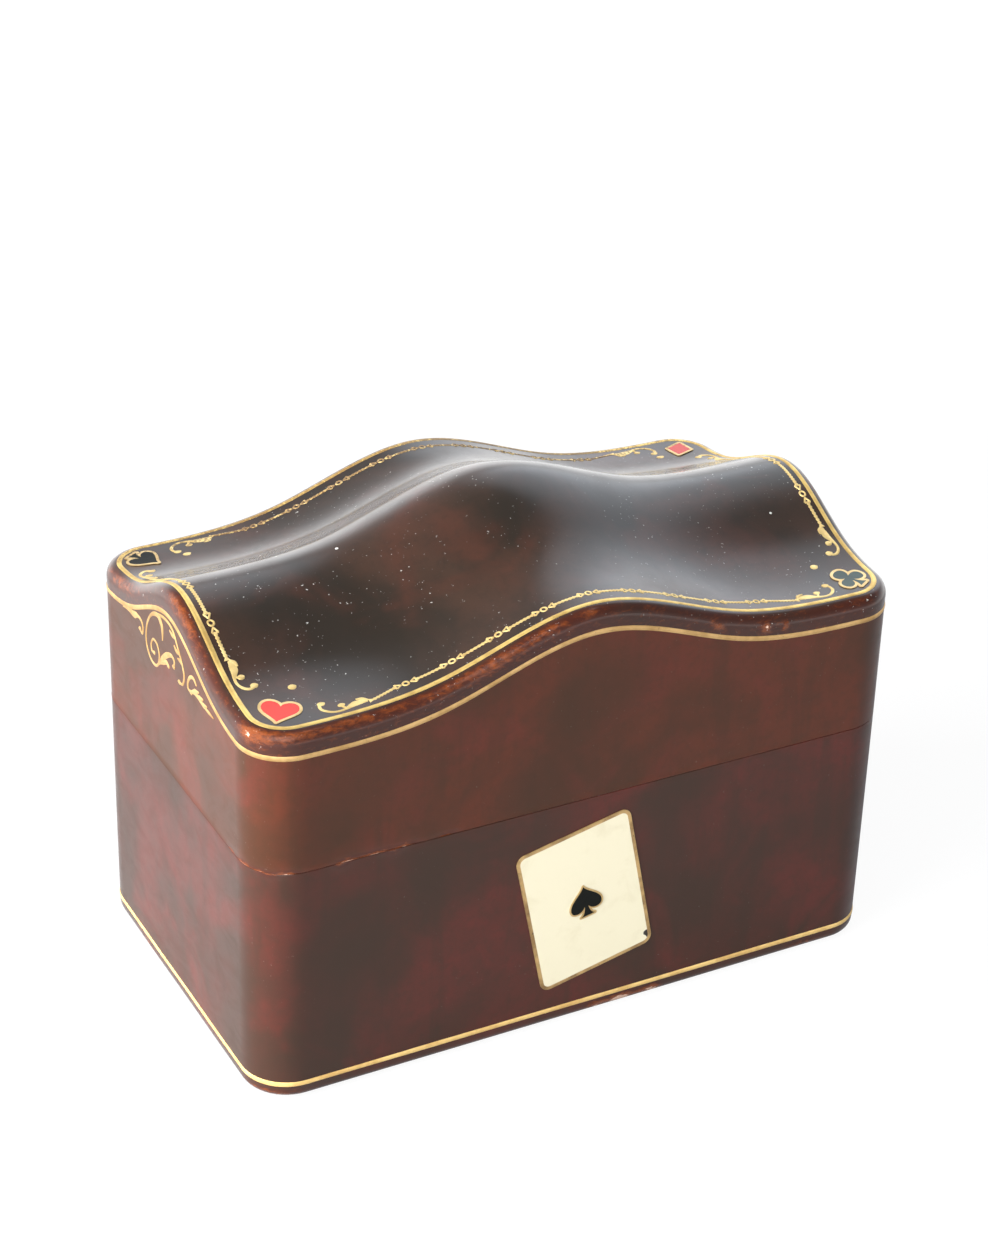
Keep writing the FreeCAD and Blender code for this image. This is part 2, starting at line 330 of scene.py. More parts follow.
@dataclass(frozen=True)
class Swell:
    """The lid's top surface: a corner height, a bell curve of x and a bell curve of y, added.

    Each bell is a cubic B-spline bump over four equal knot steps, scaled to peak at its rise.
    """

    corner_top: float
    front_rise: float = 10.0
    front_span: float = 106.4
    side_rise: float = 9.0
    side_span: float = 69.6
    knot_steps: float = 4.0

    @staticmethod
    def bell(t: Array) -> tuple[Array, Array]:
        """The unit bump and its slope, t knot steps from its middle.

        Within one step of the middle, the bump is 1, less 1.5 times t squared, plus 0.75 times t
        cubed. From there to two steps it is a quarter of the cube of what is left of the two.

        Args:
            t: distances from the bump's middle, in knot steps.

        Returns:
            The bump, which is 1 in its middle, and its slope.
        """
        a = np.abs(t)
        near, far = a < 1.0, np.clip(2.0 - a, 0.0, None)
        value = np.where(near, 1.0 - 1.5 * a ** 2 + 0.75 * a ** 3, far ** 3 / 4.0)
        slope = np.where(near, -3.0 * a + 2.25 * a ** 2, -0.75 * far ** 2)
        return value, slope * np.sign(t)

    def height(self, points: Array) -> Array:
        """z over each x, y.

        Args:
            points: an array whose last axis is x, y.

        Returns:
            One z per point.
        """
        along = self.bell(points[..., 0] * self.knot_steps / self.front_span)[0]
        across = self.bell(points[..., 1] * self.knot_steps / self.side_span)[0]
        return self.corner_top + self.front_rise * along + self.side_rise * across

    def slopes(self, points: Array) -> Array:
        """The rise per millimetre along x and along y, over each x, y.

        Args:
            points: an array whose last axis is x, y.

        Returns:
            An array whose last axis is the rise along x, the rise along y.
        """
        along = self.bell(points[..., 0] * self.knot_steps / self.front_span)[1]
        across = self.bell(points[..., 1] * self.knot_steps / self.side_span)[1]
        return np.stack([along * self.front_rise * self.knot_steps / self.front_span,
                         across * self.side_rise * self.knot_steps / self.side_span], -1)


@dataclass(frozen=True)
class LidForm:
    """The lid's outer surface: the swelled top, the bullnose round it and the upright sides.

    Round the edge, a place is given by its station and by u, the distance over the surface from
    the bullnose's inner edge: negative on the top, 0 to a quarter turn on the bullnose, and more
    down the side. Where the top slopes along the edge, the bullnose is a little taller than wide.
    """

    plan: Plan
    swell: Swell
    rounding: float
    waviness: Unevenness
    top_sinks: float = 1.5

    def top(self, points: Array, lift: Array | float = 0.0) -> Array:
        """The top surface over each x, y: the swell's height, lifted square to its slope.

        Args:
            points: an array whose last axis is x, y.
            lift: how far out from the surface.

        Returns:
            x, y, z of each.
        """
        normals = raised(-self.swell.slopes(points), 1.0)
        normals /= np.linalg.norm(normals, axis=-1, keepdims=True)
        flat = raised(points, self.swell.height(points))
        out = np.asarray(lift) + self.waviness.at(flat) - self.waviness.height * self.top_sinks
        return flat + normals * out[..., None]

    def stretch(self) -> Array:
        """How much taller than wide the bullnose is at each station: 1 over the slope's cosine."""
        return np.sqrt(1.0 + (self.swell.slopes(self.plan.loop(self.rounding)) ** 2).sum(-1))

    def reach(self, drop: float) -> Array:
        """u at each station at a drop from the top: a quarter turn, then what is left of it."""
        return self.rounding * np.pi / 2 + drop - self.rounding * self.stretch()

    def edge(self, u: Array, lift: Array | float = 0.0) -> Array:
        """The surface at u round the edge.

        At an angle round the bullnose, the surface is out by the rounding times the angle's sine,
        and has fallen by the rounding times the stretch times 1 less the cosine. Before it, u runs
        inwards over the top, and past it straight down the side.

        Args:
            u: one row per line round the edge, one column per station.
            lift: how far out from the surface.

        Returns:
            x, y, z of each.
        """
        u = np.broadcast_to(u, (len(u), len(self.plan.stations()[0])))
        directions = self.plan.stations()[1]
        angle = np.clip(u / self.rounding, 0.0, np.pi / 2)
        beyond = np.clip(u - self.rounding * np.pi / 2, 0.0, None)
        out = self.rounding * np.sin(angle) + np.minimum(u, 0.0)
        plan = self.plan.loop(self.rounding) + directions * out[..., None]
        fall = self.rounding * self.stretch() * (1.0 - np.cos(angle)) + beyond
        level = self.swell.height(self.plan.loop(self.rounding) + 0.0 * plan) - fall
        normals = raised(directions * np.sin(angle)[..., None], np.cos(angle))
        flat = raised(plan, level)
        # The waviness is let in a little on the top, and wholly by the upright sides
        depth = self.top_sinks + (self.waviness.crest - self.top_sinks) * np.sin(angle)
        settled = self.waviness.at(flat) - depth * self.waviness.height
        return flat + normals * (np.asarray(lift) + settled)[..., None]

    def side(self, facing: Facing, points: Array, lift: Array | float = 0.0) -> Array:
        """The left or right side: upright, at half the width, with the waviness let in.

        Args:
            facing: the left or the right side.
            points: an array whose last axis is the distance rightwards, z.
            lift: how far out from the surface.

        Returns:
            x, y, z of each.
        """
        sign = facing.value[0]
        flat = np.stack([0.0 * points[..., 0] + sign * self.plan.width / 2,
                         sign * points[..., 0], points[..., 1]], -1)
        out = np.asarray(lift) + self.waviness.sunk(flat)
        flat[..., 0] += sign * out
        return flat


# ---- Materials ----


# The Mix node's sockets when it mixes colours: the share, the first, the second and the result
MIX_INPUTS = (0, 6, 7)
MIX_RESULT = 2


class Nodes:
    """A node tree, put together a node at a time."""

    def __init__(self, tree: bpy.types.NodeTree) -> None:
        """Start on a tree.

        Args:
            tree: the tree to add to.
        """
        self.tree = tree

    def node(self, kind: str, **settings: object) -> bpy.types.Node:
        """Add a node and set its properties.

        Args:
            kind: the node's type.
            settings: its properties, by name.

        Returns:
            The new node.
        """
        made = self.tree.nodes.new(kind)
        for key, value in settings.items():
            setattr(made, key, value)
        return made

    def feed(self, socket: Socket, value: Input) -> None:
        """Link a socket to an output, or set it to a number or colour.

        Args:
            socket: the input.
            value: another node's output, a number, or a colour.
        """
        if isinstance(value, Socket):
            self.tree.links.new(value, socket)
        elif isinstance(value, tuple) and socket.type == "RGBA":
            socket.default_value = (*value, 1.0)
        else:
            socket.default_value = value

    def wired(self, kind: str, *values: Input, **settings: object) -> bpy.types.Node:
        """Add a node, set its properties and feed its first inputs in order.

        Args:
            kind: the node's type.
            values: what its inputs take.
            settings: its properties, by name.

        Returns:
            The new node.
        """
        made = self.node(kind, **settings)
        for socket, value in zip(made.inputs, values):
            self.feed(socket, value)
        return made

    def maths(self, operation: str, *values: Input) -> Socket:
        """The result of a Math node.

        Args:
            operation: the Math node's operation.
            values: its inputs, each an output or a number.

        Returns:
            The node's output.
        """
        return self.wired("ShaderNodeMath", *values, operation=operation).outputs[0]

    def between(self, value: Socket, low: float, high: float, first: float = 0.0,
                last: float = 1.0) -> Socket:
        """A smooth step: first where the value is at low, last where it is at high.

        Args:
            value: what decides.
            low: the value at which the step starts.
            high: the value at which it ends, above or below low.
            first: the result at low and before it.
            last: the result at high and past it.

        Returns:
            The step.
        """
        return self.wired("ShaderNodeMapRange", value, low, high, first, last,
                          interpolation_type="SMOOTHSTEP").outputs[0]

    def blend(self, share: Input, first: Input, second: Input) -> Socket:
        """A colour between two, by share of the second.

        Args:
            share: 0 for the first to 1 for the second.
            first: a colour or an output.
            second: a colour or an output.

        Returns:
            The colour.
        """
        made = self.node("ShaderNodeMix", data_type="RGBA")
        for number, value in zip(MIX_INPUTS, (share, first, second)):
            self.feed(made.inputs[number], value)
        return made.outputs[MIX_RESULT]


class Recipe(Nodes):
    """One material's nodes, put together a step at a time. Lengths are millimetres."""

    def __init__(self, name: str) -> None:
        """Start a material with its shader and the object's own coordinates.

        Args:
            name: the material's name.
        """
        self.material = bpy.data.materials.new(name)
        self.material.use_nodes = True
        super().__init__(self.material.node_tree)
        self.shader = self.tree.nodes["Principled BSDF"]
        scaled = self.wired("ShaderNodeVectorMath",
                            self.node("ShaderNodeTexCoord").outputs["Object"], operation="SCALE")
        scaled.inputs["Scale"].default_value = 1.0 / MM
        self.place = scaled.outputs[0]
        self.axes = self.wired("ShaderNodeSeparateXYZ", self.place)

    def stretched(self, size: Sequence[float], shift: Sequence[float]) -> Socket:
        """The object's coordinates, divided by a size along each axis and then shifted.

        Args:
            size: the length along x, y and z that becomes 1.
            shift: what is added, so that two patterns differ.

        Returns:
            The coordinates.
        """
        made = self.wired("ShaderNodeMapping", self.place)
        made.inputs["Location"].default_value = shift
        made.inputs["Scale"].default_value = [1.0 / length for length in size]
        return made.outputs[0]

    def cloud(self, size: float | Sequence[float], detail: float = 3.0, roughness: float = 0.55,
              shift: float = 0.0, warp: float = 0.0) -> Socket:
        """Soft noise, 0 to 1 about 0.5, with patches of about the given size.

        Args:
            size: the patches' size, or one size along each axis.
            detail: how many finer layers there are.
            roughness: how strong the finer layers are.
            shift: where in the noise this pattern is taken.
            warp: how much the noise bends itself.

        Returns:
            The noise.
        """
        sizes = (size,) * 3 if isinstance(size, (int, float)) else size
        # The shift runs askew, so that patterns with different shifts don't line up on an axis
        shifts = (shift, shift * 0.7, shift * 1.3)
        made = self.wired("ShaderNodeTexNoise", self.stretched(sizes, shifts))
        made.inputs["Scale"].default_value = 1.0
        made.inputs["Detail"].default_value = detail
        made.inputs["Roughness"].default_value = roughness
        made.inputs["Distortion"].default_value = warp
        return made.outputs[0]

    def cells(self, size: float, shift: float) -> bpy.types.Node:
        """A Voronoi node with cells of about the given size.

        Args:
            size: the cells' size.
            shift: where in the pattern it is taken.

        Returns:
            The node.
        """
        made = self.wired("ShaderNodeTexVoronoi", self.stretched((size,) * 3, (shift,) * 3),
                          feature="F1")
        made.inputs["Scale"].default_value = 1.0
        return made

    def spot(self, place: Sequence[float], radius: float) -> Socket:
        """1 at a place, falling to 0 at a radius from it.

        Args:
            place: x, y, z.
            radius: where it has faded out.

        Returns:
            The spot.
        """
        made = self.wired("ShaderNodeVectorMath", self.place, place, operation="DISTANCE")
        return self.between(made.outputs["Value"], radius, 0.0)

    def rub(self) -> Socket:
        """The mesh's own rubbing, 0 to 1."""
        return self.node("ShaderNodeAttribute", attribute_name="rub").outputs["Fac"]

    def relief(self, height: Socket, depth: float, under: Socket | None = None) -> Socket:
        """A normal bent by a height of 0 to 1 that stands for a depth in millimetres.

        Args:
            height: the height.
            depth: how deep a height of 1 is.
            under: a normal that is bent already.

        Returns:
            The normal.
        """
        made = self.node("ShaderNodeBump")
        made.inputs["Strength"].default_value = 1.0
        made.inputs["Distance"].default_value = depth * MM
        self.feed(made.inputs["Height"], height)
        if under is not None:
            self.feed(made.inputs["Normal"], under)
        return made.outputs[0]

    def done(self, **sockets: Input) -> bpy.types.Material:
        """Feed the shader's sockets, named with _ for a space, and return the material.

        Args:
            sockets: a value or an output for each socket.

        Returns:
            The material.
        """
        for key, value in sockets.items():
            self.feed(self.shader.inputs[key.replace("_", " ")], value)
        return self.material


@dataclass(frozen=True)
class AgedLeather:
    """Old polished calf: brown, with darker and redder clouds, pores, rubbed edges, dust and spots
    of painted shade.
    """

    name: str
    ground: Colour
    dark: Colour
    red: Colour
    shift: float
    cloud_size: float = 16.0
    darkness: float = 0.5
    mottling: float = 0.5
    streaking: float = 0.0
    dustiness: float = 0.3
    polish: float = 0.45
    wash: Colour = (0.050, 0.012, 0.007)
    amber: Colour = (0.18, 0.043, 0.009)
    raw: Colour = (0.66, 0.44, 0.33)
    dust: Colour = (0.75, 0.74, 0.70)
    # Spots of painted shade: darker patches at given places, each x, y, z and radius
    stains_and_painted_shade: tuple[Mark, ...] = ()
    painted_shade_strength: float = 0.85
    fine_mottle_size: float = 1.9
    pore_size: float = 0.8
    pore_darkness: float = 0.08
    dust_size: float = 0.55
    dust_cluster_size: float = 15.0
    dust_strength: float = 0.75
    coarse_dust_apart: float = 8.0
    coarse_dust_radius: float = 0.34
    roughness: float = 0.30
    smear_roughness: float = 0.12
    raw_roughness: float = 0.3
    undulation_size: float = 1.6
    undulation_depth: float = 0.003
    crease_size: float = 0.9
    crease_depth: float = 0.22
    refraction: float = 1.25
    polish_refraction: float = 1.36
    polish_roughness: float = 0.12

    def clouded(self, r: Recipe) -> Socket:
        """The dyed leather's colour: broad dark clouds, red patches and a finer mottle, then spots
        of painted shade.

        Args:
            r: the recipe to add to.

        Returns:
            The colour.
        """
        broad = r.cloud(self.cloud_size, detail=3.0, roughness=0.5, shift=self.shift, warp=0.6)
        reds = r.cloud(self.cloud_size * 0.7, detail=3.0, roughness=0.55, shift=self.shift + 90.0,
                       warp=0.8)
        mottle = r.cloud(self.cloud_size * 0.32, detail=4.0, roughness=0.6,
                         shift=self.shift + 40.0, warp=0.4)
        colour = r.blend(r.between(broad, 0.34, 0.66, first=0.0, last=self.darkness), self.ground,
                         self.dark)
        colour = r.blend(r.between(reds, 0.48, 0.72, first=0.0, last=self.mottling * 1.4), colour,
                         self.red)
        streaks = r.cloud((5.0, 5.0, 34.0), detail=4.0, roughness=0.6, shift=self.shift + 70.0,
                          warp=0.3)
        colour = r.blend(r.between(streaks, 0.48, 0.66, first=0.0, last=self.streaking), colour,
                         self.dark)
        colour = r.blend(r.between(mottle, 0.50, 0.74, first=0.0, last=self.mottling * 0.6),
                         colour, self.dark)
        fine = r.cloud(self.fine_mottle_size, detail=5.0, roughness=0.65, shift=self.shift + 55.0,
                       warp=0.3)
        colour = r.blend(r.between(fine, 0.44, 0.70, first=0.0, last=self.mottling * 0.8), colour,
                         self.dark)
        # Painted shade: each spot darkens the colour towards the dark tone, patchy at its edge
        for x, y, z, radius in self.stains_and_painted_shade:
            patchy = r.between(broad, 0.2, 0.6, first=0.5, last=1.0)
            stain_and_painted_shade_share = r.maths("MULTIPLY", r.spot((x, y, z), radius), patchy)
            colour = r.blend(r.maths("MULTIPLY", stain_and_painted_shade_share, self.painted_shade_strength), colour, self.dark)
        return colour

    def specks(self, r: Recipe, size: float, radius: float, share: float) -> Socket:
        """Dust: one round speck in a share of cells of a size.

        Args:
            r: the recipe to add to.
            size: the cells' size.
            radius: the largest speck's radius.
            share: the share of cells that have one.

        Returns:
            1 on a speck and 0 off it.
        """
        motes = r.cells(size, shift=self.shift + size)
        hue = r.wired("ShaderNodeSeparateColor", motes.outputs["Color"])
        chosen = r.between(hue.outputs[0], share + 0.01, share - 0.01)
        edge = r.maths("MULTIPLY", hue.outputs[1], radius / size)
        inside = r.maths("LESS_THAN", motes.outputs["Distance"], edge)
        return r.maths("MULTIPLY", inside, chosen)

    def worn(self, r: Recipe, colour: Socket, handled: Socket) -> tuple[Socket, Socket]:
        """Handling rubs the polish thin, to a wash, to amber, and then through to raw leather.

        Args:
            r: the recipe to add to.
            colour: the colour before.
            handled: 1 where hands reach at all.

        Returns:
            The colour, and 1 where the leather is bare.
        """
        chafe = r.cloud((1.6, 1.6, 0.7), detail=6.0, roughness=0.72, shift=self.shift + 7.0,
                        warp=0.5)
        rubbed = r.maths("ADD", r.rub(), r.maths("MULTIPLY_ADD", chafe, 1.5, -0.75))
        drift = r.maths("MULTIPLY_ADD", r.cloud(9.0, detail=3.0), 0.5, -0.25)
        thinned = r.between(r.maths("ADD", r.rub(), drift), 0.04, 0.38, first=0.0, last=0.85)
        colour = r.blend(thinned, colour, self.wash)
        amber = r.maths("MULTIPLY", r.between(rubbed, 0.26, 0.78, first=0.0, last=0.95), handled)
        colour = r.blend(amber, colour, self.amber)
        bare = r.maths("MULTIPLY", r.between(rubbed, 0.86, 1.02), handled)
        return r.blend(bare, colour, self.raw), bare

    def dusty(self, r: Recipe, colour: Socket) -> Socket:
        """Dust lies in clusters of fine motes, with a coarse speck here and there.

        Args:
            r: the recipe to add to.
            colour: the colour before.

        Returns:
            The colour.
        """
        gathered = r.cloud(self.dust_cluster_size, detail=2.0, roughness=0.5,
                           shift=self.shift + 31.0)
        clusters = r.between(gathered, 0.36, 0.62, first=0.0, last=self.dustiness)
        fine = r.cloud(self.dust_size, detail=2.0, roughness=0.6, shift=self.shift + 13.0)
        motes = r.between(fine, 0.69, 0.75)
        coarse = self.specks(r, size=self.coarse_dust_apart, radius=self.coarse_dust_radius,
                             share=self.dustiness * 0.6)
        speck = r.maths("MAXIMUM", r.maths("MULTIPLY", motes, clusters), coarse)
        return r.blend(r.maths("MULTIPLY", speck, self.dust_strength), colour, self.dust)

    def surface(self, r: Recipe) -> Socket:
        """The surface's relief: it undulates a little, and creases where it is rubbed most.

        Args:
            r: the recipe to add to.

        Returns:
            The normal.
        """
        undulation = r.cloud(self.undulation_size, detail=1.0, roughness=0.5, shift=self.shift)
        normal = r.relief(undulation, self.undulation_depth)
        cracks = r.cloud(self.crease_size, detail=5.0, roughness=0.7, shift=self.shift + 5.0,
                         warp=0.6)
        creases = r.maths("MULTIPLY", cracks, r.between(r.rub(), 0.28, 0.70))
        return r.relief(creases, self.crease_depth, normal)

    def material(self) -> bpy.types.Material:
        """Make the material.

        Returns:
            The finished leather.
        """
        r = Recipe(self.name)
        pores = r.cells(self.pore_size, self.shift).outputs["Distance"]
        pitted = r.between(pores, 0.75, 0.15, first=0.0, last=self.pore_darkness)
        handled = r.between(r.rub(), 0.01, 0.08)
        colour, bare = self.worn(r, r.blend(pitted, self.clouded(r), self.dark), handled)
        colour = self.dusty(r, colour)
        # Smears dull the polish, except where hands keep it bright
        smears = r.cloud((9.0, 9.0, 5.0), detail=4.0, roughness=0.6, shift=self.shift + 21.0,
                         warp=0.5)
        smeared = r.between(smears, 0.35, 0.70, first=0.0, last=self.smear_roughness)
        dulled = r.maths("MULTIPLY", smeared, r.between(handled, 1.0, 0.0))
        rough = r.maths("ADD", r.maths("ADD", dulled, self.roughness),
                        r.maths("MULTIPLY", bare, self.raw_roughness))
        normal = self.surface(r)
        polish = r.between(r.rub(), 0.0, 0.10, first=self.polish, last=1.0)
        return r.done(Base_Color=colour, Roughness=rough, Normal=normal, IOR=self.refraction,
                      Coat_Weight=polish, Coat_IOR=self.polish_refraction, Coat_Normal=normal,
                      Coat_Roughness=self.polish_roughness)


@dataclass(frozen=True)
class Gilding:
    """Gold leaf tooled into leather: bright on its crown, duller and browner where it is worn."""

    name: str
    gold: Colour = (0.86, 0.62, 0.21)
    dull: Colour = (0.60, 0.39, 0.12)
    leather: Colour = (0.10, 0.045, 0.02)
    worn: float = 0.35
    worn_at_back: float = 0.75
    metal: float = 0.68
    back: tuple[float, float] = (26.0, 31.0)
    back_middle: tuple[float, float] = (44.0, 34.0)
    middle_wear: float = 0.6
    wear_at_back: float = 0.28
    roughness: tuple[float, float] = (0.36, 0.50)

    def material(self) -> bpy.types.Material:
        """Make the material.

        Returns:
            The finished gold.
        """
        r = Recipe(self.name)
        tone = r.cloud(3.5, detail=4.0, roughness=0.6, shift=5.0)
        flecks = r.cloud(0.55, detail=4.0, roughness=0.65, shift=11.0)
        colour = r.blend(r.between(tone, 0.35, 0.68), self.gold, self.dull)
        # The gold is most worn at the back, and there most of all between the corners
        from_middle = r.maths("ABSOLUTE", r.axes.outputs["X"])
        middle = r.between(from_middle, *self.back_middle, first=self.middle_wear, last=1.0)
        at_back = r.maths("MULTIPLY", r.between(r.axes.outputs["Y"], *self.back), middle)
        lasting = r.maths("MULTIPLY_ADD", at_back, self.wear_at_back, flecks)
        share = r.between(at_back, 0.0, 1.0, first=self.worn, last=self.worn_at_back)
        gone = r.maths("MULTIPLY", r.between(lasting, 0.62, 0.74), share)
        colour = r.blend(gone, colour, self.leather)
        metal = r.maths("MULTIPLY_ADD", gone, -self.metal, self.metal)
        rough = r.between(flecks, 0.30, 0.70, *self.roughness)
        return r.done(Base_Color=colour, Metallic=metal, Roughness=rough,
                      Normal=r.relief(flecks, 0.02))


@dataclass(frozen=True)
class Enamel:
    """Thick glossy paint: even in colour, with faint stains, fine cracks and specks."""

    name: str
    colour: Colour
    stain: Colour
    stain_and_painted_shade_share: float = 0.5
    crack: Colour = (0.03, 0.02, 0.015)
    cracked: float = 0.25
    roughness: float = 0.22
    refraction: float = 1.5
    chips: tuple[Mark, ...] = ()
    chip_colour: Colour = (0.02, 0.015, 0.012)

    def material(self) -> bpy.types.Material:
        """Make the material.

        Returns:
            The finished enamel.
        """
        r = Recipe(self.name)
        stains_and_painted_shade = r.cloud(5.0, detail=5.0, roughness=0.6, shift=3.0, warp=0.5)
        colour = r.blend(r.between(stains_and_painted_shade, 0.52, 0.78, first=0.0, last=self.stain_and_painted_shade_share), self.colour,
                         self.stain)
        specks = r.cloud(0.5, detail=3.0, roughness=0.6, shift=9.0)
        colour = r.blend(r.between(specks, 0.66, 0.74, first=0.0, last=self.cracked), colour,
                         self.crack)
        for x, y, z, radius in self.chips:
            ragged = r.maths("MULTIPLY_ADD", r.cloud(0.5, detail=3.0, roughness=0.6, shift=2.0),
                             0.8, -0.4)
            lost = r.between(r.maths("ADD", r.spot((x, y, z), radius), ragged), 0.42, 0.52)
            colour = r.blend(lost, colour, self.chip_colour)
        wavy = r.relief(r.cloud(1.4, detail=2.0, roughness=0.5, shift=6.0), 0.025)
        return r.done(Base_Color=colour, Roughness=self.roughness, Normal=wavy,
                      IOR=self.refraction)


@dataclass(frozen=True)
class WateredPaper:
    """Lining paper with a watered, silk-like figure: wavy bands that shift in tone and gloss."""

    name: str
    ground: Colour
    band: Colour

    def material(self) -> bpy.types.Material:
        """Make the material.

        Returns:
            The finished paper.
        """
        r = Recipe(self.name)
        bands = r.cloud((14.0, 14.0, 1.1), detail=2.0, roughness=0.5, shift=4.0, warp=1.6)
        soil = r.cloud(9.0, detail=4.0, roughness=0.6, shift=8.0)
        threads = r.cloud((0.25, 0.25, 0.9), detail=2.0, roughness=0.5, shift=1.0)
        colour = r.blend(r.between(bands, 0.42, 0.58), self.ground, self.band)
        colour = r.blend(r.between(soil, 0.5, 0.8, first=0.0, last=0.45), colour,
                         (0.05, 0.025, 0.02))
        return r.done(Base_Color=colour,
                      Roughness=r.between(bands, 0.42, 0.58, first=0.62, last=0.42),
                      Normal=r.relief(threads, 0.03), Sheen_Weight=0.3, Sheen_Roughness=0.4)


@dataclass(frozen=True)
class PadCloth:
    """Cut-pile cloth over card: a fine nap with brushed lighter and darker strokes."""

    name: str
    ground: Colour
    light: Colour

    def material(self) -> bpy.types.Material:
        """Make the material.

        Returns:
            The finished cloth.
        """
        r = Recipe(self.name)
        nap = r.cloud((1.2, 5.0, 1.2), detail=4.0, roughness=0.6, shift=2.0, warp=0.8)
        pile = r.cloud(0.16, detail=2.0, roughness=0.5, shift=7.0)
        colour = r.blend(r.between(nap, 0.35, 0.68), self.ground, self.light)
        colour = r.blend(r.between(pile, 0.55, 0.8, first=0.0, last=0.4), colour, self.light)
        return r.done(Base_Color=colour, Roughness=0.85, Normal=r.relief(pile, 0.08),
                      Sheen_Weight=0.6, Sheen_Roughness=0.35)


@dataclass(frozen=True)
class BoxWood:
    """Plain pale carcass wood with long growth lines and short pores."""

    name: str
    early: Colour = (0.46, 0.29, 0.15)
    late: Colour = (0.27, 0.15, 0.07)

    def material(self) -> bpy.types.Material:
        """Make the material.

        Returns:
            The finished wood.
        """
        r = Recipe(self.name)
        rings = r.cloud((60.0, 3.2, 3.2), detail=3.0, roughness=0.55, shift=2.0, warp=0.7)
        pores = r.cloud((4.0, 0.22, 0.22), detail=2.0, roughness=0.5, shift=5.0)
        colour = r.blend(r.between(rings, 0.40, 0.62), self.early, self.late)
        colour = r.blend(r.between(pores, 0.6, 0.75, first=0.0, last=0.5), colour, self.late)
        return r.done(Base_Color=colour,
                      Roughness=r.between(rings, 0.4, 0.6, first=0.55, last=0.68),
                      Normal=r.relief(pores, 0.03))


# ---- The leather ----


@dataclass(frozen=True)
class RubbedPlace:
    """A place on an edge that hands have worn.

    It has an x and a y, a size and a strength. On the bullnose it also has a u and a spread of u.
    """

    x: float
    y: float
    size: float
    strength: float
    u: float = 1.9
    spread: float = 1.2

    def at(self, plan: Array) -> Array:
        """Its strength at each x, y: a bell curve of the distance."""
        away = np.hypot(plan[:, 0] - self.x, plan[:, 1] - self.y) / self.size
        return self.strength * np.exp(-away ** 2)


@dataclass(frozen=True)
class Rim:
    """A leather's edge at the seam: rounded, turned in, and rubbed most at its worn places."""

    worn: tuple[RubbedPlace, ...]
    rounding: float = 0.25
    rub: float = 0.02
    rub_height: float = 0.45
    rub_width: float = 1.2

    def rubbing(self, plan: Array) -> Array:
        """How rubbed the edge itself is at each x, y of the outline."""
        return self.rub + sum(place.at(plan) for place in self.worn)

    def fading(self, away: Array) -> Array:
        """The share of that rubbing which is left, this far up or down the wall."""
        return np.exp(-away / self.rub_height)


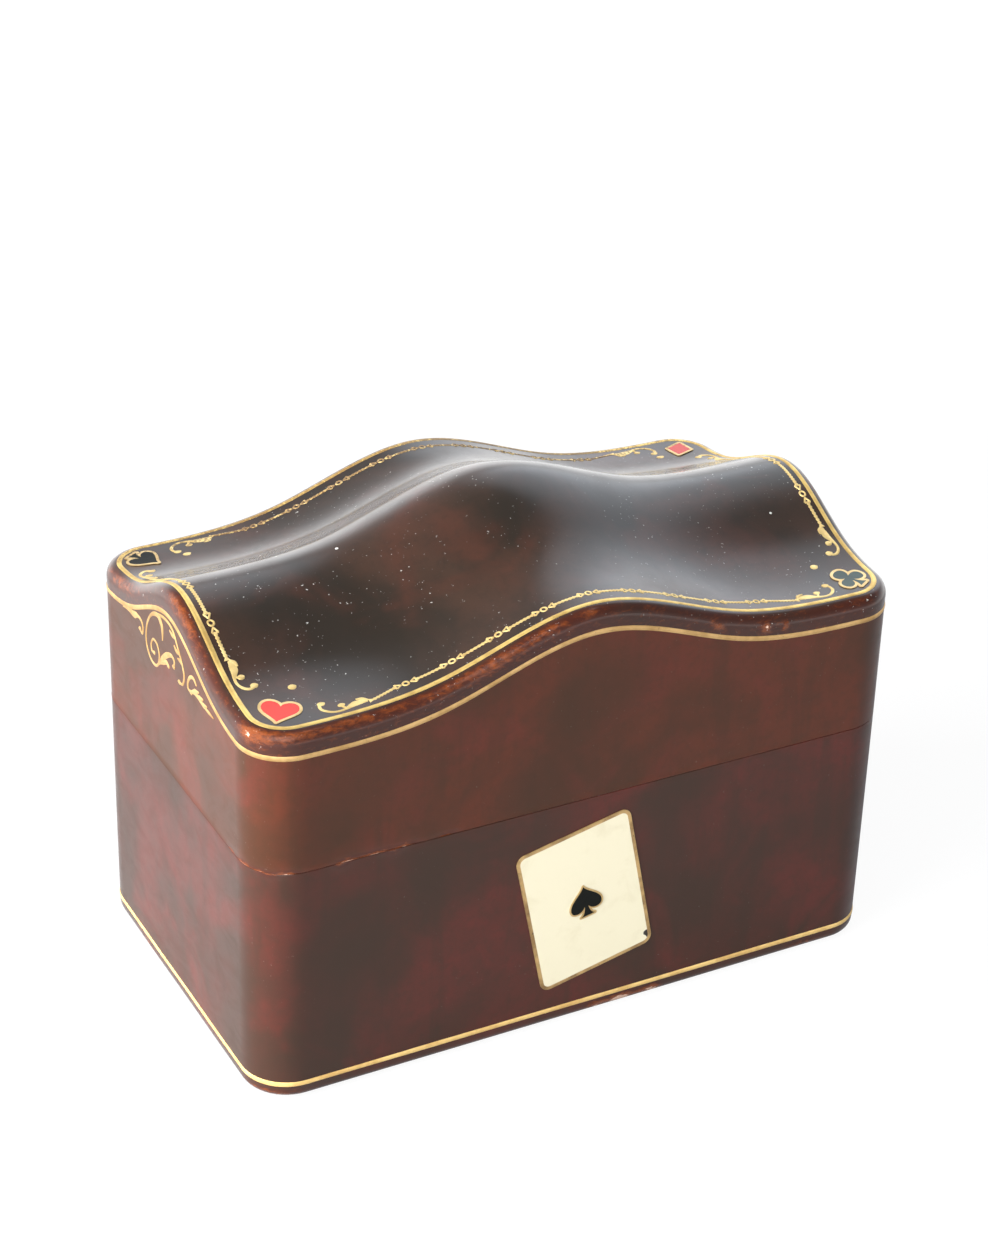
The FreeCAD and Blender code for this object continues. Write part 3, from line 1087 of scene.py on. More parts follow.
@dataclass
class LidLeather:
    """The lid's leather: one skin over the top and the bullnose, one strip round the sides."""

    form: LidForm
    seam: float
    carcass_rim: float
    inside: float
    thickness: float = LEATHER
    joint_drop: float = JOINT_DROP
    bullnose_steps: int = 11
    below_steps: int = 4
    inner_steps: int = 5
    side_steps: int = 26
    rim_steps: int = 3
    crown_rub: float = 0.27
    crown_from: float = 0.4
    worn: tuple[RubbedPlace, ...] = (
        # The corner by the heart
        RubbedPlace(-55.0, -34.0, 6.0, 0.26, 1.7, 1.0),
        RubbedPlace(-59.6, -30.5, 2.4, 0.58, 2.4, 1.2),
        RubbedPlace(-45.0, -35.0, 8.0, 0.22, 1.7, 0.9),
        RubbedPlace(-30.0, -35.0, 9.0, 0.16, 1.7, 0.9),
        # The scuffed climb to the middle of the front
        RubbedPlace(-18.0, -35.0, 6.0, 0.26, 2.4, 1.0),
        RubbedPlace(-9.0, -35.0, 3.5, 0.24, 2.0, 0.8),
        RubbedPlace(-1.5, -35.0, 2.2, 0.30, 1.6, 0.7),
        # Three chips on its far slope
        RubbedPlace(22.5, -35.0, 1.3, 0.55, 3.6, 0.7),
        RubbedPlace(32.0, -35.0, 0.9, 0.80, 3.6, 0.9),
        RubbedPlace(36.0, -35.0, 0.6, 0.65, 3.6, 0.7),
        # The left side
        RubbedPlace(-60.0, -1.5, 2.0, 0.40, 1.8, 1.0),
        RubbedPlace(-60.0, -6.0, 2.4, 0.28, 1.8, 1.0),
        RubbedPlace(-60.0, -12.0, 4.5, 0.12, 2.0, 1.1),
        RubbedPlace(-59.0, 22.0, 6.0, 0.24),
        # The right side and the back
        RubbedPlace(59.0, 30.0, 5.0, 0.42),
        RubbedPlace(59.5, -6.0, 4.0, 0.34),
        RubbedPlace(4.0, 35.0, 9.0, 0.38),
        RubbedPlace(-52.0, 34.5, 5.0, 0.34),
    )
    rim: Rim = Rim((
        # The corner by the heart
        RubbedPlace(-59.9, -24.5, 1.5, 0.70),
        RubbedPlace(-59.4, -28.5, 2.0, 1.05),
        RubbedPlace(-57.8, -31.5, 1.4, 1.05),
        RubbedPlace(-54.8, -34.2, 2.2, 1.00),
        # The left part of the front
        RubbedPlace(-44.5, -35.3, 2.2, 1.00),
        RubbedPlace(-39.5, -35.3, 2.6, 1.05),
        RubbedPlace(-34.0, -35.3, 2.0, 0.85),
        RubbedPlace(-27.0, -35.3, 2.0, 0.60),
        # The far corner and the back
        RubbedPlace(56.0, 33.0, 4.0, 0.9),
        RubbedPlace(-10.0, 35.3, 5.0, 0.8),
    ))

    def rubbing(self, u: Array) -> Array:
        """How rubbed the edge is: a faint band along the bullnose's crown, and the worn places.

        Args:
            u: places round the edge, one row per line, one column per station.

        Returns:
            The rubbing of each.
        """
        plan = self.form.plan.loop(0.0)
        rubbed = self.crown_rub * np.clip(u - self.crown_from, 0.0, 1.0) + 0.0 * plan[:, 0]
        for place in self.worn:
            rubbed = rubbed + place.at(plan) * np.exp(-((u - place.u) / place.spread) ** 2)
        return rubbed

    def outer_rows(self) -> Array:
        """u of the top skin's rows: equal steps over the bullnose, and then down to the joint.

        Returns:
            One row per line round the edge, one column per station.
        """
        form = self.form
        quarter = form.rounding * np.pi / 2
        stations = len(form.plan.stations()[0])
        angles = np.linspace(0.0, quarter, self.bullnose_steps)[1:, None] + np.zeros(stations)
        share = np.linspace(0.0, 1.0, self.below_steps + 1)[1:, None]
        straight = share * (form.reach(self.joint_drop) - quarter) + quarter
        return np.concatenate([angles, straight])

    def under_rows(self) -> Array:
        """The top skin's underside, one thickness in: from the joint back up to the top board.

        It is a quarter ellipse about the stations' centres, one thickness narrower and one
        thickness lower than the bullnose.

        Returns:
            x, y, z: one row per line round the edge, one column per station.
        """
        form, plan = self.form, self.form.plan
        level = form.swell.height(plan.loop(form.rounding))
        foot = raised(plan.loop(self.thickness), level - self.joint_drop)
        turn = np.linspace(np.pi / 2, 0.0, self.inner_steps + 1)[:-1, None]
        reach = (form.rounding - self.thickness) * np.sin(turn)
        out = plan.loop(form.rounding) + plan.stations()[1] * reach[..., None]
        tall = form.rounding * form.stretch() - self.thickness
        drop = self.thickness + tall * (1.0 - np.cos(turn))
        return np.concatenate([foot[None], raised(out, level - drop)])

    def skin(self, material: bpy.types.Material) -> bpy.types.Object:
        """The top skin: the grid of the top, rows over the bullnose and back underneath.

        Args:
            material: its finish.

        Returns:
            The skin's object.
        """
        form, draft = self.form, Draft()
        grid = form.plan.grid(form.rounding)
        outer = draft.add_points(form.top(grid))
        draft.add_faces(quads(outer))
        u = self.outer_rows()
        rows = draft.add_points(form.edge(u), self.rubbing(u))
        under_rows = draft.add_points(self.under_rows())
        inner = draft.add_points(raised(grid, form.swell.height(grid) - self.thickness))
        draft.add_faces(quads(inner, flip=True))
        strip = np.vstack([form.plan.rim(outer), rows, under_rows, form.plan.rim(inner)])
        draft.add_faces(quads(strip, wrap_columns=True, flip=True))
        return draft.piece("lid_top_leather", Body.LID, "lid_leather", material,
                           ("lid_leather_top",))

    def sides(self, material: bpy.types.Material) -> bpy.types.Object:
        """The strip round the sides: down from the joint, over the rim and back up behind.

        Args:
            material: its finish.

        Returns:
            The strip's object.
        """
        form, plan, rim, draft = self.form, self.form.plan, self.rim, Draft()
        quarter = form.rounding * np.pi / 2
        joint = form.reach(self.joint_drop)
        level = form.swell.height(plan.loop(form.rounding))
        last = quarter + level - form.rounding * form.stretch() - self.seam - rim.rounding
        share = np.linspace(0.0, 1.0, self.side_steps)[:, None]
        u = joint + (last - joint) * share
        outer = form.edge(u)
        rim_rub = rim.rubbing(plan.loop(0.0))
        wall = draft.add_points(outer, rim.fading(outer[..., 2] - self.seam) * rim_rub)
        turn = np.linspace(0.0, np.pi / 2, self.rim_steps + 1)[1:]
        insets = rim.rounding * (1.0 - np.cos(turn))
        drops = rim.rounding * (1.0 - np.sin(turn))
        rows = [(plan.loop(inset), self.seam + drop) for inset, drop in zip(insets, drops)]
        rows += [(plan.loop(rim.rub_width), self.seam),
                 (plan.loop(self.inside, squared=True), self.seam),
                 (plan.loop(self.inside, squared=True), self.carcass_rim),
                 (plan.loop(self.thickness), self.carcass_rim)]
        lower = np.stack([raised(outline, z) for outline, z in rows])
        behind = raised(plan.loop(self.thickness), level - self.joint_drop)
        rub = np.zeros((len(lower) + 1, len(behind)))
        rub[:self.rim_steps] = rim_rub
        rest = draft.add_points(np.concatenate([lower, behind[None]]), rub)
        index = np.vstack([wall, rest])
        draft.add_faces(quads(index, wrap_rows=True, wrap_columns=True, flip=True))
        return draft.piece("lid_side_leather", Body.LID, "lid_leather", material,
                           ("lid_leather_sides",))


@dataclass
class BaseLeather:
    """The base's leather: one profile carried round the plan.

    The profile starts under the foot, rounds it, goes up the wall, over the rim to the collar and
    back down behind.
    """

    plan: Plan
    waviness: Unevenness
    foot: float
    seam: float
    inside: float
    thickness: float = LEATHER
    foot_rounding: float = 1.6
    turn_in: float = 7.5
    foot_rub: float = 0.16
    foot_rub_top: float = 1.1
    foot_rub_fade: float = 0.9
    turn_steps: int = 6
    wall_steps: int = 44
    worn: tuple[RubbedPlace, ...] = (
        # The foot below the card
        RubbedPlace(3.0, -35.3, 2.2, 0.60),
        RubbedPlace(8.0, -35.3, 3.0, 0.95),
        RubbedPlace(14.0, -35.3, 2.0, 0.85),
        # The rest of the foot
        RubbedPlace(-57.0, -33.0, 6.0, 0.35),
        RubbedPlace(45.0, -35.0, 5.0, 0.30),
        RubbedPlace(-60.0, 14.0, 6.0, 0.40),
        RubbedPlace(30.0, 35.0, 7.0, 0.50),
    )
    rim: Rim = Rim((
        RubbedPlace(-57.0, -32.5, 2.0, 0.7),
        RubbedPlace(-45.5, -35.3, 1.6, 0.8),
        RubbedPlace(-36.5, -35.3, 1.8, 0.8),
        RubbedPlace(58.0, -31.0, 2.5, 0.5),
    ))

    def profile(self) -> tuple[Array, Array, Array, Array]:
        """Inset, z, how far the waviness shows and whether the corners are squared, by row.

        The foot and the rim are quarter circles of their roundings, with the upright wall between.

        Returns:
            The four measures, each with one value per row of the profile.
        """
        rim, t = self.rim, self.thickness
        quarter = np.linspace(0.0, np.pi / 2, self.turn_steps + 1)
        foot_turn = self.foot_rounding * (1.0 - np.sin(quarter))
        foot_level = self.foot + self.foot_rounding * (1.0 - np.cos(quarter))
        # The rim's rounding is small, so it takes every other step
        turn = quarter[::2]
        rim_turn = rim.rounding * (1.0 - np.cos(turn))
        rim_level = self.seam - rim.rounding * (1.0 - np.sin(turn))
        wall = np.linspace(foot_level[-1], rim_level[0], self.wall_steps)[1:-1]
        behind = np.array([(rim.rub_width, self.seam), (self.inside, self.seam),
                           (self.inside, self.seam - t), (t, self.seam - t), (t, foot_level[-1]),
                           (self.foot_rounding, self.foot + t), (self.turn_in, self.foot + t)])
        inset = np.concatenate([[self.turn_in], foot_turn, 0.0 * wall, rim_turn, behind[:, 0]])
        level = np.concatenate([[self.foot], foot_level, wall, rim_level, behind[:, 1]])
        waves = np.concatenate([[0.0], np.sin(quarter), 0.0 * wall + 1.0, np.cos(turn),
                                0.0 * behind[:, 0]])
        squared = (inset == self.inside) | (inset == self.turn_in)
        return inset, level, waves, squared

    def skin(self, material: bpy.types.Material) -> bpy.types.Object:
        """Build the skin.

        Args:
            material: its finish.

        Returns:
            The skin's object.
        """
        inset, level, waves, squared = self.profile()
        outline = np.stack([self.plan.loop(d, bool(s)) for d, s in zip(inset, squared)])
        flat = raised(outline, level[:, None])
        out = self.waviness.sunk(flat) * waves[:, None]
        flat[..., :2] += self.plan.stations()[1] * out[..., None]
        plan = self.plan.loop(0.0)
        foot_rub = self.foot_rub + sum(place.at(plan) for place in self.worn)
        over_foot = np.maximum(level - self.foot - self.foot_rub_top, 0.0)
        at_foot = np.exp(-(over_foot / self.foot_rub_fade) ** 2)
        at_rim = self.rim.fading(np.maximum(self.seam - level, 0.0)) * (inset < self.rim.rub_width)
        rub = at_foot[:, None] * foot_rub + at_rim[:, None] * self.rim.rubbing(plan)
        draft = Draft()
        index = draft.add_points(flat, rub)
        draft.add_faces(quads(index, wrap_rows=True, wrap_columns=True))
        return draft.piece("base_leather_skin", Body.BASE, "base_leather", material,
                           ("base_leather_cover",))


# ---- Gilding ----


GILT_SLOT = "gilt"
GILT_CREASE = 60.0


@dataclass(frozen=True)
class Bead:
    """The cross-section of tooled gilding: a low crown, its edges pressed into the leather."""

    crown: float = 0.105
    sunk: float = 0.045
    across: tuple[float, ...] = (0.5, 0.27, 0.0, -0.27, -0.5, 0.0)
    heights: tuple[float, ...] = (0.0, 0.8, 1.0, 0.8, 0.0, -1.4)

    def lifts(self) -> Array:
        """The lift of each corner: its share of the crown, or at 0 and below, sunk in."""
        heights = np.array(self.heights)
        return np.where(heights > 0.0, heights * self.crown, (heights - 1.0) * self.sunk)


@dataclass
class GiltLines:
    """The three tooled lines round the box: two on the lid and one near the base's foot."""

    form: LidForm
    base_plan: Plan
    base_waviness: Unevenness
    width: float = 1.05
    side_drop: float = JOINT_DROP
    base_level: float = 3.4
    section: Bead = Bead()
    hand: Unevenness = Unevenness(height=0.035, shortest=5.0, longest=30.0, seed=31)

    def widths(self) -> Array:
        """The line's width at each station, a little uneven."""
        plan = self.form.plan.loop(0.0)
        return self.width * (1.0 + self.hand.at(raised(plan, 0.0)))

    def on_lid(self, name: str, middle: Array, material: bpy.types.Material,
               node: str) -> bpy.types.Object:
        """A line round the lid at u = middle, one value per station.

        Args:
            name: the piece's name.
            middle: u of the line's middle at each station.
            material: its finish.
            node: the CAD node that it replaces.

        Returns:
            The line's object.
        """
        across = -np.array(self.section.across)[:, None] * self.widths()
        lifts = self.section.lifts()[:, None]
        points = self.form.edge(middle + across, lifts)
        return self.ring(name, points, Body.LID, material, node)

    def on_base(self, name: str, material: bpy.types.Material, node: str) -> bpy.types.Object:
        """The line round the base near its foot.

        Args:
            name: the piece's name.
            material: its finish.
            node: the CAD node that it replaces.

        Returns:
            The line's object.
        """
        across = np.array(self.section.across)[:, None] * self.widths()
        level = self.base_level + across
        flat = raised(np.broadcast_to(self.base_plan.loop(0.0), (*level.shape, 2)), level)
        out = self.base_waviness.sunk(flat) + self.section.lifts()[:, None]
        flat[..., :2] += self.base_plan.stations()[1] * out[..., None]
        return self.ring(name, flat, Body.BASE, material, node)

    @staticmethod
    def ring(name: str, points: Array, body: Body, material: bpy.types.Material,
             node: str) -> bpy.types.Object:
        """A closed ring: the section's corners by the stations.

        Args:
            name: the piece's name.
            points: the section's points, one row each, at every station.
            body: the body that it moves with.
            material: its finish.
            node: the CAD node that it replaces.

        Returns:
            The line's object.
        """
        draft = Draft()
        index = draft.add_points(points)
        draft.add_faces(quads(index, wrap_rows=True, wrap_columns=True, flip=True))
        return draft.piece(name, body, GILT_SLOT, material, (node,), crease=GILT_CREASE)


def flowing(points: Sequence[Sequence[float]], steps: int = 8) -> Array:
    """A smooth curve through given points, as a Catmull-Rom spline.

    Between two points, the curve is a cubic whose slope at each is half the step from the point
    before to the point after.

    Args:
        points: the points to pass through.
        steps: how many steps each span is divided into.

    Returns:
        The curve's points.
    """
    knots = np.array(points, float)
    padded = np.vstack([2 * knots[0] - knots[1], knots, 2 * knots[-1] - knots[-2]])
    before, here, after, later = (padded[i:len(padded) - 3 + i] for i in range(4))
    t = np.linspace(0.0, 1.0, steps, endpoint=False)[:, None, None]
    curve = 0.5 * (2 * here + (after - before) * t
                   + (2 * before - 5 * here + 4 * after - later) * t ** 2
                   + (3 * here - before - 3 * after + later) * t ** 3)
    return np.vstack([curve.transpose(1, 0, 2).reshape(-1, knots.shape[1]), knots[-1:]])


@dataclass(frozen=True)
class Flourish:
    """One stroke of tooled ornament: the points it flows through, its widths and its end bead."""

    points: tuple[tuple[float, float], ...]
    widths: tuple[float, ...]
    ball: float = 0.0

    def path(self) -> tuple[Array, Array]:
        """The stroke's middle line and the width at each of its points.

        Returns:
            The path's points and the width at each.
        """
        line = flowing(self.points)
        share = np.linspace(0.0, 1.0, len(line))
        widths = np.interp(share, np.linspace(0.0, 1.0, len(self.widths)), self.widths)
        return line, widths


@dataclass
class Tooling:
    """Gathers tooled strokes on one surface, as closed domed ribbons, into one piece.

    The mapper carries points in the surface's own two measures, and their lift, to x, y, z.
    """

    mapper: Mapper
    section: Bead = Bead()
    draft: Draft = field(default_factory=Draft)
    thinnest: float = 0.05
    bead_steps: int = 8
    ring_steps: int = 20
    dart_steps: int = 3
    dart_taper: float = 0.85
    pulse_steps: int = 6
    pulse: tuple[float, float] = (0.80, 0.20)

    def stroke(self, line: Array, widths: Array) -> None:
        """A ribbon along a line: the section set square to it at each point, with capped ends.

        A point of the section is to the left of the line by its share of the width there.

        Args:
            line: points along the stroke, in the surface's own two measures.
            widths: its width at each.
        """
        step = np.gradient(line, axis=0)
        step /= np.maximum(np.linalg.norm(step, axis=1, keepdims=True), TINY)
        left = np.stack([-step[:, 1], step[:, 0]], -1)
        across = np.array(self.section.across) * np.maximum(widths, self.thinnest)[:, None]
        plan = line[:, None] + left[:, None] * across[..., None]
        lifts = np.broadcast_to(self.section.lifts(), plan.shape[:2])
        index = self.draft.add_points(self.mapper(plan, lifts))
        self.draft.add_faces(quads(index, wrap_columns=True))
        self.draft.add_faces(np.stack([index[0, ::-1], index[-1]]))

    def bead(self, place: Sequence[float], radius: float) -> None:
        """A round dot: a stroke as long as it is wide, its width that of a circle.

        Args:
            place: its middle.
            radius: its radius.
        """
        angle = np.linspace(-np.pi / 2, np.pi / 2, self.bead_steps + 1)
        line = np.array(place) + np.stack([np.sin(angle), 0.0 * angle], -1) * radius
        self.stroke(line, 2.0 * radius * np.cos(angle))

    def circle(self, place: Sequence[float], radius: float, width: float) -> None:
        """A ring of even width.

        Args:
            place: its middle.
            radius: the radius of the stroke's middle.
            width: the stroke's width.
        """
        angle = np.linspace(0.0, 2.0 * np.pi, self.ring_steps + 1)
        line = np.array(place) + np.stack([np.cos(angle), np.sin(angle)], -1) * radius
        self.stroke(line, 0.0 * angle + width)

    def dart(self, base: Array, tip: Array, width: float) -> None:
        """A triangle from its base to its tip."""
        share = np.linspace(0.0, 1.0, self.dart_steps + 1)[:, None]
        self.stroke(base + (tip - base) * share, width * (1.0 - self.dart_taper * share[:, 0]))

    def open_dart(self, base: Array, tip: Array, width: float, line: float) -> None:
        """The outline of a triangle from its base to its tip, as three straight strokes.

        Args:
            base: the middle of its base.
            tip: its tip.
            width: the base's width.
            line: the strokes' width.
        """
        step = tip - base
        across = np.array([-step[1], step[0]]) * (width / 2 / np.linalg.norm(step))
        corners = (base - across, base + across, tip)
        share = np.linspace(0.0, 1.0, self.dart_steps + 1)[:, None]
        for start, end in zip(corners, corners[1:] + corners[:1]):
            self.stroke(start + (end - start) * share, np.full(len(share), line))

    def beaded(self, start: Array, end: Array, pitch: float, width: float) -> None:
        """A line of small beads run together: its width is a cosine wave, one turn for each bead.

        Args:
            start: one end.
            end: the other end.
            pitch: about how far apart the beads are.
            width: the line's width at a bead.
        """
        length = float(np.linalg.norm(end - start))
        count = max(int(round(length / pitch)), 1)
        share = np.linspace(0.0, 1.0, count * self.pulse_steps + 1)
        mean, swing = self.pulse
        pulse = mean - swing * np.cos(share * count * 2.0 * np.pi)
        self.stroke(start + (end - start) * share[:, None], width * pulse)

    def flourish(self, shape: Flourish, place: Callable[[Array], Array],
                 boldness: float = 1.0) -> None:
        """A flourish, placed by a map of its own points to the surface's plan.

        Args:
            shape: the stroke.
            place: carries its own points to the surface's measures.
            boldness: how much wider it is drawn.
        """
        line, widths = shape.path()
        self.stroke(place(line), widths * boldness)
        if shape.ball:
            self.bead(place(line[-1:])[0], shape.ball * boldness)

    def piece(self, name: str, body: Body, material: bpy.types.Material) -> bpy.types.Object:
        """Make the piece."""
        return self.draft.piece(name, body, GILT_SLOT, material, crease=GILT_CREASE)


CORNER_SCROLL: tuple[Flourish, ...] = (
    # The leaf, which thins to a stem and curls up to its end bead
    Flourish(((0.9, 0.1), (1.9, 0.4), (3.0, 0.35), (4.0, 0.0), (5.1, -0.4), (6.4, -0.45),
              (7.6, 0.1), (8.35, 1.1), (8.3, 2.1), (7.8, 2.6)),
             (0.5, 1.5, 1.6, 1.1, 0.62, 0.58, 0.66, 0.68, 0.62, 0.6), ball=0.66),
    # The side shoot and its bead
    Flourish(((4.5, -0.2), (4.95, 0.35), (5.05, 1.0)), (0.5, 0.5, 0.6), ball=0.62),
    # The scallop on the leaf's back
    Flourish(((0.7, 0.3), (1.4, 1.15), (2.4, 1.4)), (0.45, 0.75, 0.35)),
)


@dataclass
class TopBorder:
    """The tooled border on the lid's top along one edge.

    Rings between pairs of darts are joined by beaded lines, and a scroll ends the row at each end.
    Along the border, a is the distance to the right as seen from outside that edge, and b is the
    distance inwards from the border's line.
    """

    form: LidForm
    facing: Facing
    inset: float
    rings: int
    pitch: float
    middle: float
    tails: tuple[float, float]
    droop: float
    scroll_scale: float
    ring_radius: float = 0.50
    ring_width: float = 0.42
    dart_gap: float = 0.12
    dart_length: float = 0.95
    dart_width: float = 1.15
    dart_line: float = 0.40
    bead_pitch: float = 0.62
    bead_width: float = 0.86
    drift: float = 0.05
    knot: tuple[float, float, float] = (0.75, -0.25, 1.4)

    @property
    def dart_tip(self) -> float:
        """How far a dart's tip is from its ring's middle."""
        return self.ring_radius + self.dart_gap + self.ring_width / 2

    @property
    def dart_base(self) -> float:
        """How far a dart's base is from its ring's middle."""
        return self.dart_tip + self.dart_length

    def place(self, points: Array) -> Array:
        """Carry (a, b) of the border to x, y of the lid.

        Args:
            points: an array whose last axis is a, b.

        Returns:
            x and y of each.
        """
        out = np.array(self.facing.value)
        right = np.array([-out[1], out[0]])
        half = abs(out @ np.array([self.form.plan.width, self.form.plan.depth])) / 2
        return points[..., :1] * right + (half - self.inset - points[..., 1:]) * out

    def build(self, name: str, material: bpy.types.Material) -> bpy.types.Object:
        """Build the border as one piece.

        Args:
            name: the piece's name.
            material: its finish.

        Returns:
            The border's object.
        """
        tooling = Tooling(self.form.top)
        steps = np.arange(self.rings) - (self.rings - 1) / 2
        centres = self.middle + steps * self.pitch
        # The hand's drift off the line, seeded by the length of the border's name
        random = np.random.default_rng(len(name))
        for centre, drift in zip(centres, random.normal(0.0, self.drift, self.rings)):
            self.motif(tooling, centre, drift)
        # Beaded lines run from motif to motif, and at each end a tail droops to its scroll
        far = self.dart_base
        starts = np.concatenate([[centres[0] - far - self.tails[0]], centres + far])
        ends = np.concatenate([centres - far, [centres[-1] + far + self.tails[1]]])
        start_levels, end_levels = 0.0 * starts, 0.0 * ends
        start_levels[0] = end_levels[-1] = -self.droop
        for start, end, low, high in zip(starts, ends, start_levels, end_levels):
            line = self.place(np.array([[start, low], [end, high]]))
            tooling.beaded(line[0], line[1], self.bead_pitch, self.bead_width)
        for sign, origin in ((-1.0, starts[0]), (1.0, ends[-1])):
            self.scroll(tooling, sign, origin)
        return tooling.piece(name, Body.LID, material)

    def motif(self, tooling: Tooling, centre: float, drift: float) -> None:
        """A ring between two open darts that point at it.

        Args:
            tooling: what draws it.
            centre: a of the ring's middle.
            drift: b of the ring's middle.
        """
        ring = self.place(np.array([[centre, drift]]))[0]
        tooling.circle(ring, self.ring_radius, self.ring_width)
        for sign in (-1.0, 1.0):
            ends = [[centre + sign * away, drift] for away in (self.dart_base, self.dart_tip)]
            base, tip = self.place(np.array(ends))
            tooling.open_dart(base, tip, self.dart_width, self.dart_line)

    def scroll(self, tooling: Tooling, sign: float, origin: float) -> None:
        """The knot and the scroll at one end of the row, a little nearer the edge than the row.

        Args:
            tooling: what draws it.
            sign: -1 for the left end, 1 for the right.
            origin: a, where the row ends.
        """
        size = self.scroll_scale

        def along(points: Array) -> Array:
            """Carry the scroll's own points to the lid."""
            return self.place(np.stack([origin + sign * points[..., 0] * size,
                                        points[..., 1] * size - self.droop], -1))

        start, end, width = self.knot
        base, tip = along(np.array([[start, 0.0], [end, 0.0]]))
        tooling.dart(base, tip, width)
        for shape in CORNER_SCROLL:
            tooling.flourish(shape, along)


@dataclass
class SideFiligree:
    """The scrolled spray under the side line on the lid's left and right faces.

    Its points are (towards the front, above the lid's corner height).
    """

    form: LidForm
    boldness: float = 1.25
    shapes: tuple[Flourish, ...] = (
        # The bud and its stalk, at the back
        Flourish(((-20.9, -3.7), (-18.2, -3.0), (-16.0, -2.8), (-14.6, -2.3), (-12.8, -2.2),
                  (-11.8, -3.1), (-12.2, -4.6), (-13.2, -4.2)),
                 (0.15, 0.95, 1.25, 0.6, 0.4, 0.4, 0.4), 0.42),
        # The great spiral, from the tip of its leaf to the end of its inner curl
        Flourish(((-2.9, -1.2), (-2.9, 0.4), (-3.3, 1.7), (-4.9, 2.5), (-7.5, 1.4), (-9.6, -1.1),
                  (-10.5, -4.2), (-10.0, -6.3), (-8.4, -7.6), (-6.4, -7.7), (-5.0, -6.4),
                  (-4.7, -4.6), (-5.6, -3.2), (-7.2, -3.1), (-8.2, -4.4), (-8.0, -5.6),
                  (-7.0, -5.6)),
                 (0.15, 0.8, 1.15, 0.85, 0.5, 0.42, 0.42, 0.45, 0.5, 0.5, 0.45, 0.4, 0.42, 0.42,
                  0.4, 0.36), 0.36),
        # The hook and the leaf beside it
        Flourish(((-4.9, -6.6), (-3.4, -4.9), (-1.4, -3.2), (0.7, -2.2), (2.0, -2.6), (1.7, -3.8)),
                 (0.5, 0.95, 1.0, 0.7, 0.42, 0.4), 0.42),
        Flourish(((-4.7, -6.3), (-3.0, -5.3), (-1.5, -4.6), (-0.7, -4.9)),
                 (0.5, 0.9, 0.8, 0.4), 0.40),
        # The vine that runs on under the line, and its leaves
        Flourish(((-4.9, 2.7), (-2.2, 3.4), (0.4, 3.4), (2.2, 2.7), (3.3, 1.4), (4.4, 0.1),
                  (5.6, -1.6), (6.2, -3.3), (5.4, -5.1), (4.0, -5.4)),
                 (0.5, 0.55, 0.6, 0.5, 0.42, 0.42, 0.45, 0.5, 0.45), 0.42),
        Flourish(((0.4, 2.4), (1.5, 2.0), (2.8, 2.0)), (0.25, 0.8, 0.4)),
        Flourish(((2.2, 0.5), (3.2, -0.1), (4.5, -0.1)), (0.25, 0.85, 0.4)),
        Flourish(((3.6, -1.2), (4.5, -1.2), (5.5, -1.4)), (0.25, 0.7, 0.4)),
        # The last scroll, with its row of leaves
        Flourish(((11.5, -2.2), (10.2, -1.5), (8.8, -2.0), (7.8, -3.3), (7.8, -4.5), (9.0, -4.7)),
                 (0.35, 0.6, 0.6, 0.5, 0.45), 0.42),
        Flourish(((8.9, -4.6), (10.8, -3.7), (12.5, -2.9)), (0.35, 1.15, 0.2)),
        Flourish(((10.9, -4.1), (12.7, -3.9), (14.2, -3.3)), (0.35, 1.15, 0.2)),
        Flourish(((12.8, -4.3), (14.4, -4.3), (15.8, -3.8)), (0.3, 1.0, 0.2)),
        Flourish(((14.6, -4.4), (16.4, -4.5), (18.4, -4.5)), (0.4, 0.65, 0.15)),
    )

    def build(self, name: str, facing: Facing, material: bpy.types.Material) -> bpy.types.Object:
        """Build the spray on one face.

        Args:
            name: the piece's name.
            facing: the left or the right face.
            material: its finish.

        Returns:
            The spray's object.
        """
        to_front = -facing.value[0]

        def surface(points: Array, lift: Array) -> Array:
            """Carry (rightwards, up) to the face."""
            return self.form.side(facing, points, lift)

        def place(points: Array) -> Array:
            """Carry the spray's own points to (rightwards, z)."""
            return np.stack([points[..., 0] * to_front,
                             points[..., 1] + self.form.swell.corner_top], -1)

        tooling = Tooling(surface)
        for shape in self.shapes:
            tooling.flourish(shape, place, self.boldness)
        return tooling.piece(name, Body.LID, material)


@dataclass
class CornerDots:
    """The four gold dots inside the suits."""

    form: LidForm
    places: tuple[tuple[float, float], ...] = ((-48.4, -22.8), (-45.8, 27.0), (48.0, 26.6),
                                               (49.3, -23.0))
    radius: float = 0.72

    def build(self, name: str, material: bpy.types.Material) -> bpy.types.Object:
        """Build the dots as one piece.

        Args:
            name: the piece's name.
            material: its finish.

        Returns:
            The dots' object.
        """
        tooling = Tooling(self.form.top)
        for place in self.places:
            tooling.bead(place, self.radius)
        return tooling.piece(name, Body.LID, material)


# ---- The studio ----


def facing_matrix(eye: Array, direction: Array, roll: float = 0.0) -> Matrix:
    """A camera's or lamp's matrix, looking along a direction, in metres.

    Its right is level and square to the direction, its down is square to both, and the roll turns
    those two about the direction.

    Args:
        eye: its place, in millimetres.
        direction: where it looks.
        roll: how far the picture turns clockwise, in degrees.

    Returns:
        The world matrix.
    """
    forward = direction / np.linalg.norm(direction)
    right = np.cross(forward, [0.0, 0.0, 1.0])
    right /= np.linalg.norm(right)
    down = np.cross(forward, right)
    turn = math.radians(roll)
    across = math.cos(turn) * right - math.sin(turn) * down
    below = math.sin(turn) * right + math.cos(turn) * down
    matrix = np.eye(4)
    matrix[:3, :3] = np.stack([across, -below, -forward], -1)
    matrix[:3, 3] = eye * MM
    return Matrix(matrix.tolist())


